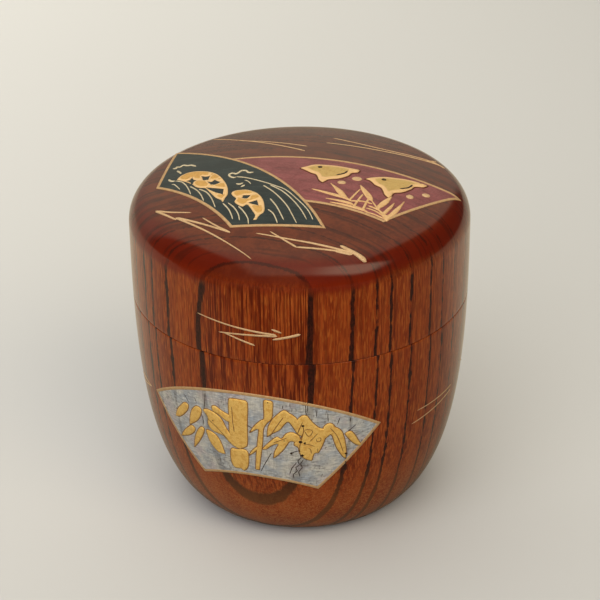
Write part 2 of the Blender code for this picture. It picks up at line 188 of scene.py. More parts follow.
class Nodes:
    """A node tree, built by adding nodes whose sockets take numbers or other nodes' outputs."""

    def __init__(self, tree):
        self.tree = tree

    def add(self, kind, settings=None, sockets=None):
        node = self.tree.nodes.new(kind)
        for name, setting in (settings or {}).items():
            setattr(node, name, setting)
        for key, value in (sockets or {}).items():
            self.join(node, key, value)
        return node

    def join(self, node, key, value):
        """Gives a node's input a link or a value."""
        socket = socket_of(node.inputs, key)
        if isinstance(value, Value):
            self.tree.links.new(value.socket, socket)
        else:
            socket.default_value = value

    def out(self, node, key=0):
        return Value(self, socket_of(node.outputs, key))

    def get(self, kind, settings=None, sockets=None, output=0):
        return self.out(self.add(kind, settings, sockets), output)

    def maths(self, operation, *values):
        return self.get("ShaderNodeMath", {"operation": operation}, dict(enumerate(values)))

    def vector_maths(self, operation, *values):
        return self.get("ShaderNodeVectorMath", {"operation": operation}, dict(enumerate(values)))

    def ease(self, value, low, high):
        """Rises smoothly from 0 at low to 1 at high."""
        sockets = {"Value": value, "From Min": low, "From Max": high}
        return self.get("ShaderNodeMapRange", {"interpolation_type": "SMOOTHSTEP"}, sockets)

    def blend(self, factor, first, second):
        """One colour into another."""
        sockets = {"Factor_Float": factor, "A_Color": first, "B_Color": second}
        return self.get("ShaderNodeMix", {"data_type": "RGBA"}, sockets, "Result_Color")

    def coated(self, ground, *coats):
        """A colour under coats of other colours, each as dense as the number before it says."""
        for density, tint in coats:
            ground = self.blend(density, ground, tint)
        return ground

    def apart(self, vector):
        node = self.add("ShaderNodeSeparateXYZ", {}, {0: vector})
        return [self.out(node, k) for k in range(3)]

    def together(self, x, y, z):
        return self.get("ShaderNodeCombineXYZ", {}, {0: x, 1: y, 2: z})

    def noise(self, vector, detail=2.0, twist=0.0):
        sockets = {"Vector": vector, "Scale": 1.0, "Detail": detail, "Distortion": twist}
        return self.get("ShaderNodeTexNoise", {}, sockets)

    def marks(self, place, across, up, detail=2.0, twist=0.0):
        """Noise with about so many marks per millimetre across and up."""
        return self.noise(self.vector_maths("MULTIPLY", place, (across, across, up)), detail, twist)


def colour(red, green, blue):
    """A colour as it is seen, 0 to 255, in the linear numbers that a shader takes."""
    parts = [part / 255 for part in (red, green, blue)]
    return (*[p / 12.92 if p < 0.04045 else ((p + 0.055) / 1.055) ** 2.4 for p in parts], 1.0)


def new_finish(name, sockets):
    """A material with the values that are the same all over it."""
    made = bpy.data.materials.new(name)
    made.use_nodes = True
    nodes = Nodes(made.node_tree)
    shader = made.node_tree.nodes["Principled BSDF"]
    for key, value in sockets.items():
        nodes.join(shader, key, value)
    return made, nodes, shader


def roughen(nodes, shader, height, depth):
    """Lets a pattern stand up from the surface by a depth in metres."""
    bumps = {"Height": height, "Distance": depth, "Strength": 1.0}
    nodes.join(shader, "Normal", nodes.get("ShaderNodeBump", {}, bumps, "Normal"))


def place_in_mm(nodes, turn=0.0):
    """A point's place in millimetres, seen after a turn about the upright axis."""
    place = nodes.get("ShaderNodeTexCoord", output="Object")
    place = nodes.vector_maths("MULTIPLY", place, (1000.0, 1000.0, 1000.0))
    turned = {"Vector": place, "Angle": turn}
    return nodes.get("ShaderNodeVectorRotate", {"rotation_type": "Z_AXIS"}, turned)


def grain(nodes, turn):
    """Growth rings about a leaning pith, the pores after each ring, the end grain and the heart."""
    place = place_in_mm(nodes, turn)
    x, y, up = nodes.apart(place)
    end_grain = nodes.ease(up, side_top / MM - 0.3, side_top / MM + 3.0)
    down = 1 - up / (HEIGHT / MM)
    away = nodes.together(x - PITH[0] - down * PITH_LEAN[0], y - PITH[1] - down * PITH_LEAN[1], 0.0)
    wander = (nodes.marks(place, 0.05, 0.02) - 0.5) * 0.6
    waver = (nodes.marks(place, 0.5, 0.07) - 0.5) * 0.4
    distance = nodes.get("ShaderNodeVectorMath", {"operation": "LENGTH"}, {0: away}, "Value")
    distance = distance + wander + waver - (1 - nodes.ease(up, 0.0, RING_FLARE_TOP)) * RING_FLARE
    upper_left = nodes.ease(up, *HEART_NARROWS) * (1 - nodes.ease(x, -6.0, 2.0))
    drawn_in = upper_left * (1 - nodes.ease(distance, HEART + 1.1, HEART + 4.1))
    distance = distance + drawn_in * HEART_DRAWN_IN
    streaks = nodes.marks(place, 2.6, 0.036, 1.0)
    breaks = nodes.ease(nodes.marks(place, 2.2, 0.16, 1.0), 0.38, 0.5)
    fine = nodes.marks(place, 5.2, 0.16, 1.0)
    low = 1 - nodes.ease(up, *FOOT_GRAIN)
    swell = (nodes.marks(place, 0.8, 0.42) - 0.5) * (1.3 - low * 1.1)
    ragged = (fine - 0.5) * (0.5 - low * 0.4)
    spreading = 1 + low * 0.6 - end_grain * 0.35
    past_heart = nodes.ease(distance, HEART - 0.4, HEART + 0.3)
    early = nodes.ease(distance, HEART - DENSE_PORES, HEART - DENSE_PORES + 0.5) - past_heart
    rings = None
    for radius, width, broken in GROWTH_RINGS:
        beyond = distance - radius
        reach = nodes.maths("ABSOLUTE", beyond + ragged) - swell * broken
        ring = 1 - nodes.ease(reach / (width * spreading), 0.55, 1.0)
        rings = nodes.maths("MAXIMUM", rings, ring) if rings else ring
        after = (nodes.ease(beyond, -0.1, 0.2) - nodes.ease(beyond, 0.5, 3.2)) * 0.6
        early = nodes.maths("MAXIMUM", early, after)
    lines = nodes.noise(nodes.together(distance * 1.1, x * 0.05, y * 0.05), 1.0)
    lines = nodes.ease(lines, 0.52, 0.62) * end_grain * 0.45
    rings = nodes.maths("MAXIMUM", rings * (1 - end_grain * 0.25), lines)
    pores = nodes.maths(
        "MAXIMUM",
        nodes.ease(streaks + early * 0.03, 0.5, 0.58) * (0.3 + early * 0.7) * (0.45 + breaks * 0.55),
        nodes.ease(fine + early * 0.04, 0.54, 0.64) * (0.3 + early * 0.25),
    )
    return {
        "rings": rings, "pores": pores, "end": end_grain, "heart": 1 - past_heart,
        "place": place, "low": low,
    }


def wood_finish(name, turn):
    """Open-grained wood under clear lacquer, which lies thick and red on the shoulder."""
    made, nodes, shader = new_finish(name, {
        "Roughness": 0.42, "Specular IOR Level": 0.05, "Coat Weight": 1.0,
        "Coat Roughness": 0.09, "Coat IOR": 1.4,
    })
    cut = grain(nodes, turn)
    place, end_grain, low = cut["place"], cut["end"], cut["low"]
    x, _, up = nodes.apart(place)
    tone = nodes.marks(place, 0.3, 0.03, 3.0)
    fibre = nodes.marks(place, 1.3, 0.03)
    lighter = nodes.ease(tone + (fibre - 0.5) * 0.5, 0.35, 0.65)
    flecks = nodes.ease(nodes.marks(place, 3.6, 0.42, 1.0), 0.5, 0.64)
    dark_flecks = nodes.ease(nodes.marks(place, 3.1, 0.34, 1.0), 0.51, 0.62)
    curls = nodes.ease(nodes.marks(place, 2.1, 3.2, 1.0, 1.4), 0.48, 0.55)
    along = nodes.coated(
        colour(136, 53, 12), (lighter, colour(152, 67, 22)),
        (flecks * (1 - low) * 0.62, colour(170, 90, 33)),
        (dark_flecks * (1 - low) * 0.55, colour(106, 34, 8)),
        (curls * low * 0.6, colour(176, 108, 56)),
    )
    across = nodes.blend(lighter, colour(83, 33, 14), colour(99, 42, 18))
    above_side = up - side_top / MM
    over_border = above_side - nodes.ease(x, 10.0, 19.0) * 2.0 - (fibre - 0.5) * 1.5
    pooled = nodes.ease(over_border, *POOL_LOWER_EDGE)
    pooled = pooled * (1 - nodes.ease(above_side, *POOL_UPPER_EDGE))
    ring_strength = 0.94 - low * 0.2 - pooled * (1 - nodes.ease(above_side, 1.8, 3.2)) * 0.5
    pooled = pooled * (1 - cut["heart"] * 0.5)
    red = nodes.blend(nodes.ease(above_side, 0.8, 3.6), colour(112, 26, 4), colour(90, 18, 4))
    pore = nodes.blend(end_grain, colour(84, 20, 0), colour(74, 24, 10))
    speck = nodes.ease(nodes.marks(place, 4.0, 1.6, 1.0), 0.45, 0.55)
    ring = nodes.coated(
        colour(46, 12, 9), (speck, colour(22, 5, 4)), (end_grain, colour(44, 16, 8)),
        (low, colour(82, 50, 20)),
    )
    pore_strength = cut["pores"] * (0.95 - end_grain * 0.78) * (1 - low * 0.75)
    nodes.join(shader, "Base Color", nodes.coated(
        along, (end_grain, across), (pooled * 0.86, red), (pore_strength, pore),
        (cut["rings"] * ring_strength, ring),
    ))
    roughen(nodes, shader, 1 - nodes.maths("MAXIMUM", cut["pores"] * 0.5, cut["rings"]), RELIEF)
    return made


def black_lacquer():
    """Smooth black lacquer, with the faint unevenness that a brush leaves."""
    made, nodes, shader = new_finish("black_lacquer", {
        "Roughness": 0.18, "Coat Weight": 0.6, "Coat Roughness": 0.08,
    })
    strokes = nodes.marks(place_in_mm(nodes), 0.35, 0.35, 3.0)
    nodes.join(shader, "Base Color", nodes.blend(strokes, colour(16, 13, 12), colour(34, 24, 20)))
    roughen(nodes, shader, strokes, RELIEF)
    return made


def stand(name, data):
    """A new object in the scene."""
    made = bpy.data.objects.new(name, data)
    bpy.context.scene.collection.objects.link(made)
    return made


def mesh_object(name, points, edges=(), faces=(), **values):
    """A mesh, with named values at its points for a tree or a finish to read."""
    mesh = bpy.data.meshes.new(name)
    mesh.from_pydata(points, edges, faces)
    for label, numbers in values.items():
        mesh.attributes.new(label, "FLOAT", "POINT").data.foreach_set("value", numbers)
    return stand(name, mesh)


def geometry_tree(name, inputs):
    """An empty tree with named inputs, and the outputs that give their values."""
    tree = bpy.data.node_groups.new(name, "GeometryNodeTree")
    tree.interface.new_socket("Geometry", in_out="OUTPUT", socket_type="NodeSocketGeometry")
    for label, kind in inputs.items():
        tree.interface.new_socket(label, in_out="INPUT", socket_type="NodeSocket" + kind)
    nodes = Nodes(tree)
    given = nodes.add("NodeGroupInput")
    return nodes, {label: nodes.out(given, label) for label in inputs}


def run_tree(name, tree, values):
    """Runs a tree on an empty mesh and keeps what it makes as a plain mesh."""
    host = stand(name, bpy.data.meshes.new(name))
    modifier = host.modifiers.new("Shape", "NODES")
    modifier.node_group = tree
    for item in tree.interface.items_tree:
        if item.in_out == "INPUT":
            modifier[item.identifier] = values[item.name]
    bpy.context.view_layer.update()
    ready = bpy.context.evaluated_depsgraph_get()
    mesh = bpy.data.meshes.new_from_object(host.evaluated_get(ready), depsgraph=ready)
    host.modifiers.clear()
    host.data = mesh
    mesh.name = name
    return host


def mesh_of(nodes, owner):
    return nodes.get("GeometryNodeObjectInfo", {}, {"Object": owner}, "Geometry")


def value_called(nodes, name):
    settings = {"data_type": "FLOAT"}
    return nodes.get("GeometryNodeInputNamedAttribute", settings, {"Name": name}, "Attribute")


def moved(nodes, shape, places):
    return nodes.get("GeometryNodeSetPosition", {}, {"Geometry": shape, "Position": places})


def finished(nodes, shape, finish):
    """Shades a shape smooth, makes it real and gives it its material."""
    shape = nodes.get("GeometryNodeSetShadeSmooth", {}, {"Geometry": shape, "Shade Smooth": True})
    shape = nodes.get("GeometryNodeRealizeInstances", {}, {"Geometry": shape})
    return nodes.get("GeometryNodeSetMaterial", {}, {"Geometry": shape, "Material": finish})


def turning_tree():
    """A profile turned about the upright axis, and lacquered between two of its points."""
    nodes, given = geometry_tree("turned_on_the_lathe", {
        "Profile": "Object", "Points": "Int", "Steps": "Int", "First Lacquered": "Int",
        "Last Lacquered": "Int", "Wood": "Material", "Lacquer": "Material",
    })
    rows = given["Steps"] + 1
    grid = nodes.get("GeometryNodeMeshGrid", {}, {
        "Size X": 1.0, "Size Y": 1.0, "Vertices X": given["Points"], "Vertices Y": rows,
    })
    index = nodes.get("GeometryNodeInputIndex")
    point = nodes.maths("FLOOR", (index + 0.5) / rows)
    angle = (index - point * rows) / given["Steps"] * (2 * pi)
    drawn = nodes.get("GeometryNodeSampleIndex", {"data_type": "FLOAT_VECTOR"}, {
        "Geometry": mesh_of(nodes, given["Profile"]), "Index": point,
        "Value": nodes.get("GeometryNodeInputPosition"),
    })
    across, _, up = nodes.apart(drawn)
    placed = nodes.together(
        across * nodes.maths("COSINE", angle), across * nodes.maths("SINE", angle), up
    )
    shape = nodes.get("GeometryNodeStoreNamedAttribute", {"data_type": "FLOAT", "domain": "POINT"}, {
        "Geometry": grid, "Name": "profile_point", "Value": point,
    })
    merging = {"Geometry": moved(nodes, shape, placed), "Distance": SAME_POINT}
    shape = nodes.get("GeometryNodeMergeByDistance", {}, merging)
    shape = finished(nodes, shape, given["Wood"])

    def compared(operation, limit):
        sockets = {0: value_called(nodes, "profile_point"), 1: limit}
        return nodes.get("FunctionNodeCompare", {"operation": operation}, sockets)

    inside = nodes.get("FunctionNodeBooleanMath", {"operation": "AND"}, {
        0: compared("GREATER_EQUAL", given["First Lacquered"]),
        1: compared("LESS_EQUAL", given["Last Lacquered"]),
    })
    shape = nodes.get("GeometryNodeSetMaterial", {}, {
        "Geometry": shape, "Material": given["Lacquer"], "Selection": inside,
    })
    nodes.add("NodeGroupOutput", {}, {"Geometry": shape})
    return nodes.tree


lathe = turning_tree()
black = black_lacquer()


def turned(name, profile, first_lacquered, last_lacquered, wood):
    drawing = mesh_object("profile", [(across, 0.0, up) for across, up in profile])
    made = run_tree(name, lathe, {
        "Profile": drawing, "Points": len(profile), "Steps": TURNING_STEPS, "Wood": wood,
        "First Lacquered": first_lacquered, "Last Lacquered": last_lacquered, "Lacquer": black,
    })
    bpy.data.objects.remove(drawing)
    return made


skirt_radius = WIDEST_RADIUS - LID_WALL
lip_outer = skirt_radius - LIP_CLEARANCE
lip_inner = lip_outer - LIP_WALL
body_rim = seam - SEAM_LINE / 2
ring_inner = FOOT_RADIUS - FOOT_RING_WIDTH

bore_end = first_place(lambda t: wall_point(t)[0] < lip_inner)
fillet_end = first_place(lambda t: fillet_at(t) < FLOOR_FILLET)
touch_across, _, touch_lean = wall_point(fillet_end)
fillet = fillet_at(fillet_end)
fillet_centre = (touch_across - fillet * cos(touch_lean), FLOOR_THICKNESS + fillet)
hollow = arc(fillet_centre, fillet, -pi / 2, -touch_lean, FILLET_POINTS)
for k in range(1, HOLLOW_POINTS + 1):
    hollow.append(wall_point(fillet_end + (bore_end - fillet_end) * k / HOLLOW_POINTS)[:2])
lip = (
    arc((lip_inner + LIP_ROUNDING, lip_top - LIP_ROUNDING), LIP_ROUNDING, pi, pi / 2, LIP_POINTS)
    + arc((lip_outer - LIP_ROUNDING, lip_top - LIP_ROUNDING), LIP_ROUNDING, pi / 2, 0.0, LIP_POINTS)
)
body_side = side(side_at(body_rim - SEAM_ROUNDING), 1.0, SIDE_POINTS)
body_edge = arc(
    (body_side[0][0] - SEAM_ROUNDING, body_rim - SEAM_ROUNDING), SEAM_ROUNDING, pi / 2, 0.0,
    EDGE_POINTS,
)
inside = [(0.0, FLOOR_THICKNESS)] + hollow + lip + [(lip_outer, body_rim)]
foot = [(ring_inner, 0.0), (ring_inner - FOOT_RECESS, FOOT_RECESS), (0.0, FOOT_RECESS)]
body = turned(
    "body_turned", inside + body_edge[:-1] + body_side + foot, 0, len(inside) - 1,
    wood_finish("lacquered_wood_body", 0.0),
)
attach(body, "body")
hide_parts("body")

# Lid: turned from a piece of the same block, so that the grain runs on over the seam. Its top
# is a low dome with a rounded shoulder, its bore is straight, and it slides over the lip.
LID_TURN = radians(1.0)
CROWN_POINTS = 48
SHOULDER_POINTS = 40
LID_SIDE_POINTS = 24
BORE_SHOULDER_POINTS = 12
BORE_CROWN_POINTS = 20

lid_rim = seam + SEAM_LINE / 2
shoulder_centre = (WIDEST_RADIUS - SHOULDER_RADIUS, side_top)
crown_centre = (0.0, HEIGHT - CROWN_RADIUS)
lid_side = side(0.0, side_at(lid_rim + SEAM_ROUNDING), LID_SIDE_POINTS)
rim_centre = (lid_side[-1][0] - SEAM_ROUNDING, lid_rim + SEAM_ROUNDING)
lid_outside = (
    arc(crown_centre, CROWN_RADIUS, pi / 2, pi / 2 - crown_angle, CROWN_POINTS)
    + arc(shoulder_centre, SHOULDER_RADIUS, pi / 2 - crown_angle, 0.0, SHOULDER_POINTS)[1:]
    + lid_side[1:]
    + arc(rim_centre, SEAM_ROUNDING, 0.0, -pi / 2, EDGE_POINTS)[1:]
)
rim_rounding = arc(
    (skirt_radius + LIP_CLEARANCE, lid_rim + LIP_CLEARANCE), LIP_CLEARANCE, -pi / 2, -pi,
    EDGE_POINTS,
)
lid_inside = (
    rim_rounding
    + arc(shoulder_centre, SHOULDER_RADIUS - LID_WALL, 0.0, pi / 2 - crown_angle, BORE_SHOULDER_POINTS)
    + arc(crown_centre, CROWN_RADIUS - LID_WALL, pi / 2 - crown_angle, pi / 2, BORE_CROWN_POINTS)[1:]
)
lid = turned(
    "lid_turned", lid_outside + lid_inside,
    len(lid_outside + rim_rounding) - 1, len(lid_outside + lid_inside) - 1,
    wood_finish("lacquered_wood_lid", LID_TURN),
)
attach(lid, "lid")
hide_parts("lid")

# Fans: three open fans laid in coloured lacquer and silver leaf, each with a raised gold line
# round it. The indigo one lies over the crimson one on the lid, and the wood's grain shows
# through the crimson. The silver one is on the body and has crackled along the grain.
OPEN_ARC = 34
LINE_WIDTH = 0.66
LINE_OVERLAP = 0.3
BELOW_WOOD = 0.06
FLAT_WRAP = 10.0
FAR = 0.1
POWDER_RELIEF = 0.012 * MM
RED_TOP = 0.04
INDIGO_TOP = 0.1
SILVER_TOP = 0.07
LINE_RISE = 0.05
ON_LID = {"wood": lid, "turn": (0.0, 0.0, 0.0), "height": 0.0, "wrap": FLAT_WRAP, "body": "lid"}
# Each fan has the middle of its outer edge, the way it faces, its outer radius and half angle,
# its depth, and its inner radius and half angle.
INDIGO_FAN = ((-6.6, 0.9), radians(37.6), 71.2, radians(20), 16.2, 55.0, radians(12.8))
RED_FAN = ((8.1, 5.6), radians(75.9), 90.0, radians(16.1), 18.9, 45.6, radians(16.8))
SILVER_FAN = ((0.0, 0.0), radians(90), 41.3, radians(37.4), 20.0, 26.5, radians(26.5))
SILVER_FAN_AZIMUTH = radians(-17)
SILVER_FAN_TOP = seam - 7 * MM


def on_side(wood, azimuth, height, body_name):
    """A board that stands square to an azimuth, with its origin at a height."""
    turn = (pi / 2, 0.0, azimuth)
    return {"wood": wood, "turn": turn, "height": height, "wrap": WIDEST_RADIUS, "body": body_name}


ON_SILVER = on_side(body, SILVER_FAN_AZIMUTH, SILVER_FAN_TOP, "body")
BOARD = {
    "Wood": "Object", "Turn": "Vector", "Height": "Float", "Wrap Radius": "Float",
    "Finish": "Material",
}


def press_on(nodes, given, shape):
    """Carries a shape from its board to the wood; its height stays its height above the wood."""
    x, y, high = nodes.apart(nodes.get("GeometryNodeInputPosition"))
    wrapped = nodes.maths("SINE", x / given["Wrap Radius"]) * given["Wrap Radius"]

    def turned_with_board(vector):
        sockets = {"Vector": vector, "Rotation": given["Turn"]}
        return nodes.get("ShaderNodeVectorRotate", {"rotation_type": "EULER_XYZ"}, sockets)

    start = turned_with_board(nodes.together(wrapped, y, FAR))
    start = nodes.vector_maths("ADD", start, nodes.together(0.0, 0.0, given["Height"]))
    hit = nodes.add("GeometryNodeRaycast", {}, {
        "Target Geometry": mesh_of(nodes, given["Wood"]), "Source Position": start,
        "Ray Direction": turned_with_board((0.0, 0.0, -1.0)), "Ray Length": 2 * FAR,
    })
    high = nodes.together(high, high, high)
    lift = nodes.vector_maths("MULTIPLY", nodes.out(hit, "Hit Normal"), high)
    placed = nodes.vector_maths("ADD", nodes.out(hit, "Hit Position"), lift)
    shape = finished(nodes, moved(nodes, shape, placed), given["Finish"])
    nodes.add("NodeGroupOutput", {}, {"Geometry": shape})


def laying_tree():
    nodes, given = geometry_tree("laid_on_the_wood", {"Drawing": "Object", **BOARD})
    press_on(nodes, given, mesh_of(nodes, given["Drawing"]))
    return nodes.tree


laying = laying_tree()


def lay(name, tree, drawing, board, finish, nodes_replaced, more=None):
    """Runs a tree that lays a drawing on the wood, puts it on its body and hides the parts it replaces.
    """
    made = run_tree(name, tree, {
        "Drawing": drawing, "Wood": board["wood"], "Turn": board["turn"], "Height": board["height"],
        "Wrap Radius": board["wrap"], "Finish": finish, **(more or {}),
    })
    bpy.data.objects.remove(drawing)
    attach(made, board["body"])
    if nodes_replaced:
        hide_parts(*nodes_replaced)


def spaced(outline, step):
    """A closed outline with a point at least every step."""
    points = []
    for a, b in zip(outline, outline[1:] + outline[:1]):
        a, b = Vector(a), Vector(b)
        count = max(1, round((b - a).length / step))
        points += [tuple(a.lerp(b, k / count)) for k in range(count)]
    return points


def distances(points, starts, ends):
    """How far each point is from the nearest of some straight lines."""
    runs = ends - starts
    lengths = np.maximum((runs ** 2).sum(1), SAME_POINT)
    gaps = points[:, None, :] - starts
    shares = np.clip((gaps * runs).sum(2) / lengths, 0, 1)
    return np.sqrt(((gaps - shares[..., None] * runs) ** 2).sum(2)).min(1)


def inside_of(points, starts, ends):
    """Which points an odd number of outlines go round."""
    x, y = points[:, :1], points[:, 1:]
    crosses = (starts[:, 1] > y) != (ends[:, 1] > y)
    rise = np.where(ends[:, 1] == starts[:, 1], SAME_POINT, ends[:, 1] - starts[:, 1])
    reach = starts[:, 0] + (y - starts[:, 1]) * (ends[:, 0] - starts[:, 0]) / rise
    return (crosses & (x < reach)).sum(1) % 2 == 1


def filled(shapes, lift, edge=0.3, spacing=1.0):
    """Filled outlines on the board, in millimetres: full height inside, rounded towards the edge.

    Each shape is an outline and the outlines of its holes.
    """
    points, faces, from_edge = [], [], []
    for loops in shapes:
        loops = [spaced(list(loop), edge) for loop in loops]
        starts = np.array([p for loop in loops for p in loop])
        ends = np.array([p for loop in loops for p in loop[1:] + loop[:1]])
        edges, first = [], 0
        for loop in loops:
            edges += [(first + k, first + (k + 1) % len(loop)) for k in range(len(loop))]
            first += len(loop)
        low, high = starts.min(0), starts.max(0)
        across = np.arange(low[0], high[0], spacing)
        rows = np.arange(low[1], high[1], spacing * 0.87)
        grid = np.array([(x + (k % 2) * spacing / 2, y) for k, y in enumerate(rows) for x in across])
        runs = ends - starts
        sideways = np.stack([-runs[:, 1], runs[:, 0]], 1) / np.linalg.norm(runs, axis=1)[:, None]
        middles = (starts + ends) / 2
        rims = [middles + sideways * reach for reach in (-edge, -edge * 0.45, edge * 0.45, edge)]
        inner = np.concatenate([grid, *rims])
        away = distances(inner, starts, ends)
        wanted = inside_of(inner, starts, ends) & (away > edge * 0.4)
        wanted[:len(grid)] &= away[:len(grid)] > edge * 1.4
        every = np.concatenate([starts, inner[wanted]])
        found = delaunay_2d_cdt([Vector(p) for p in every], edges, [], 0, SAME_POINT)
        flat = np.array([tuple(p) for p in found[0]])
        triangles = [tuple(face) for face in found[2]]
        centres = np.array([flat[list(face)].mean(0) for face in triangles])
        kept = inside_of(centres, starts, ends)
        triangles = [face for face, keep in zip(triangles, kept) if keep]
        reach = distances(flat, starts, ends)
        from_edge += [*reach, *reach]
        short = 1 - np.clip(reach / edge, 0, 1)
        height = lift * (0.2 + 0.8 * np.sqrt(1 - short ** 2))
        first, count = len(points), len(flat)
        points += [(x * MM, y * MM, up * MM) for (x, y), up in zip(flat, height)]
        points += [(x * MM, y * MM, -BELOW_WOOD * MM) for x, y in flat]
        sides = {}
        for a, b, c in triangles:
            faces.append((first + a, first + b, first + c))
            faces.append((first + count + c, first + count + b, first + count + a))
            for pair in ((a, b), (b, c), (c, a)):
                sides[pair] = True
        for a, b in sides:
            if (b, a) not in sides:
                faces.append((first + b, first + a, first + count + a, first + count + b))
    return mesh_object("drawing", points, (), faces, from_edge=from_edge)


def inset(outline, distance):
    """A closed anticlockwise outline moved inwards by a distance, with its corners kept sharp."""
    moved = []
    for k, point in enumerate(outline):
        here = Vector(point)
        into = (here - Vector(outline[k - 1])).normalized()
        out = (Vector(outline[(k + 1) % len(outline)]) - here).normalized()
        inward = Vector((-into.y - out.y, into.x + out.x)).normalized()
        lean = inward.dot(Vector((-into.y, into.x)))
        moved.append(tuple(here + inward * (distance / lean)))
    return moved


def fan(outer_middle, facing, outer_radius, outer_half, depth, inner_radius, inner_half):
    """The paper of an open folding fan: two arcs joined by straight sides, anticlockwise."""
    way = Vector((cos(facing), sin(facing)))
    outer_centre = Vector(outer_middle) - way * outer_radius
    inner_centre = Vector(outer_middle) - way * (depth + inner_radius)
    return arc(outer_centre, outer_radius, facing - outer_half, facing + outer_half, OPEN_ARC) + arc(
        inner_centre, inner_radius, facing + inner_half, facing - inner_half, OPEN_ARC
    )


def indigo_lacquer():
    """Blue-black lacquer, thin enough for the grain to show as faint lines."""
    made, nodes, shader = new_finish("indigo_lacquer", {
        "Roughness": 0.36, "Specular IOR Level": 0.3, "Coat Weight": 0.25, "Coat Roughness": 0.12,
    })
    cut = grain(nodes, LID_TURN)
    cloud = nodes.ease(nodes.marks(cut["place"], 0.25, 0.25, 3.0), 0.3, 0.7)
    dust = nodes.ease(nodes.marks(cut["place"], 5.0, 5.0), 0.62, 0.72)
    nodes.join(shader, "Base Color", nodes.coated(
        colour(15, 26, 28), (cloud, colour(26, 38, 40)), (cut["rings"] * 0.5, colour(52, 60, 58)),
        (dust * 0.3, colour(92, 96, 88)),
    ))
    roughen(nodes, shader, 1 - cut["rings"], RELIEF)
    return made


def crimson_lacquer():
    """A thin crimson lacquer with the wood's lines showing through it."""
    made, nodes, shader = new_finish("crimson_lacquer", {
        "Roughness": 0.4, "Specular IOR Level": 0.3, "Coat Weight": 0.35, "Coat Roughness": 0.16,
    })
    cut = grain(nodes, LID_TURN)
    cloud = nodes.ease(nodes.marks(cut["place"], 0.3, 0.3, 3.0), 0.35, 0.65)
    dust = nodes.ease(nodes.marks(cut["place"], 3.2, 3.2, 3.0), 0.35, 0.7)
    nodes.join(shader, "Base Color", nodes.coated(
        colour(112, 46, 48), (cloud, colour(134, 64, 66)), (dust * 0.45, colour(146, 86, 84)),
        (cut["pores"] * 0.2, colour(98, 34, 36)), (cut["rings"] * 0.6, colour(74, 26, 28)),
    ))
    roughen(nodes, shader, dust, POWDER_RELIEF)
    return made


def silver_leaf():
    """Leaf that has dulled unevenly, is scratched, and has opened a little along the grain."""
    made, nodes, shader = new_finish("silver_leaf", {})
    cut = grain(nodes, 0.0)
    place = cut["place"]
    cloud = nodes.ease(nodes.marks(place, 0.4, 0.5, 4.0), 0.35, 0.65)
    tint = nodes.marks(place, 0.22, 0.3)
    scuffs = nodes.marks(place, 0.9, 3.6, 4.0)
    scratches = nodes.ease(nodes.marks(place, 3.6, 0.7), 0.6, 0.68)
    worn = nodes.ease(nodes.marks(place, 0.16, 0.2), 0.45, 0.62)
    nodes.join(shader, "Base Color", nodes.coated(
        colour(166, 168, 170), (cloud, colour(206, 202, 192)),
        (nodes.ease(tint, 0.5, 0.64) * 0.4, colour(156, 170, 186)),
        ((1 - nodes.ease(tint, 0.36, 0.48)) * 0.4, colour(196, 174, 178)),
        (nodes.ease(scuffs, 0.5, 0.66) * (0.4 + worn * 0.4), colour(124, 120, 118)),
        (nodes.ease(1 - scuffs, 0.54, 0.68) * 0.55, colour(228, 224, 214)),
        (scratches * (0.2 + worn * 0.5), colour(96, 88, 82)),
        (cut["pores"] * 0.2, colour(98, 90, 80)), (cut["rings"] * 0.35, colour(70, 58, 48)),
    ))
    nodes.join(shader, "Metallic", 0.05 + cloud * 0.15)
    nodes.join(shader, "Roughness", 0.4 + scuffs * 0.25)
    roughen(nodes, shader, scuffs, 2 * RELIEF)
    return made


def gold_lacquer(name, bright, dull, metallic, rim=None, rim_width=0.0):
    """Gold powder sprinkled into wet lacquer: a matt glitter with thinner, browner places."""
    made, nodes, shader = new_finish(name, {"Metallic": metallic, "Specular IOR Level": 0.3})
    place = place_in_mm(nodes)
    powder = nodes.ease(nodes.marks(place, 7.0, 7.0), 0.35, 0.65)
    worn = nodes.ease(nodes.marks(place, 1.5, 1.5, 4.0), 0.46, 0.66)
    ground = nodes.coated(bright, (powder * 0.5, dull), (worn * 0.6, dull))
    if rim:
        sockets = {"attribute_type": "GEOMETRY", "attribute_name": "from_edge"}
        from_edge = nodes.get("ShaderNodeAttribute", sockets, {}, "Fac")
        ground = nodes.blend(nodes.ease(from_edge, rim_width, rim_width * 1.6), rim, ground)
    nodes.join(shader, "Base Color", ground)
    nodes.join(shader, "Roughness", 0.36 + powder * 0.16)
    roughen(nodes, shader, powder, POWDER_RELIEF)
    return made


indigo = indigo_lacquer()
crimson = crimson_lacquer()
silver = silver_leaf()
gold = gold_lacquer("gold_powder", colour(236, 196, 112), colour(204, 146, 64), 0.12)
pale_gold = gold_lacquer("pale_gold_powder", colour(210, 176, 132), colour(186, 146, 104), 0.08)
line_gold = gold_lacquer("fan_line_gold", colour(196, 160, 114), colour(170, 130, 88), 0.08)


def lay_fan(name, outline, lift, board, finish):
    panel = filled([[inset(outline, LINE_OVERLAP)]], lift, edge=0.2, spacing=0.9)
    lay(name + "_lacquer", laying, panel, board, finish, [name])
    line = filled([[outline, inset(outline, LINE_WIDTH)]], lift + LINE_RISE, edge=0.16, spacing=0.9)
    lay(name + "_line", laying, line, board, line_gold, [name + "_border"])


lay_fan("red_fan", fan(*RED_FAN), RED_TOP, ON_LID, crimson)
lay_fan("indigo_fan", fan(*INDIGO_FAN), INDIGO_TOP, ON_LID, indigo)
lay_fan("silver_fan", fan(*SILVER_FAN), SILVER_TOP, ON_SILVER, silver)

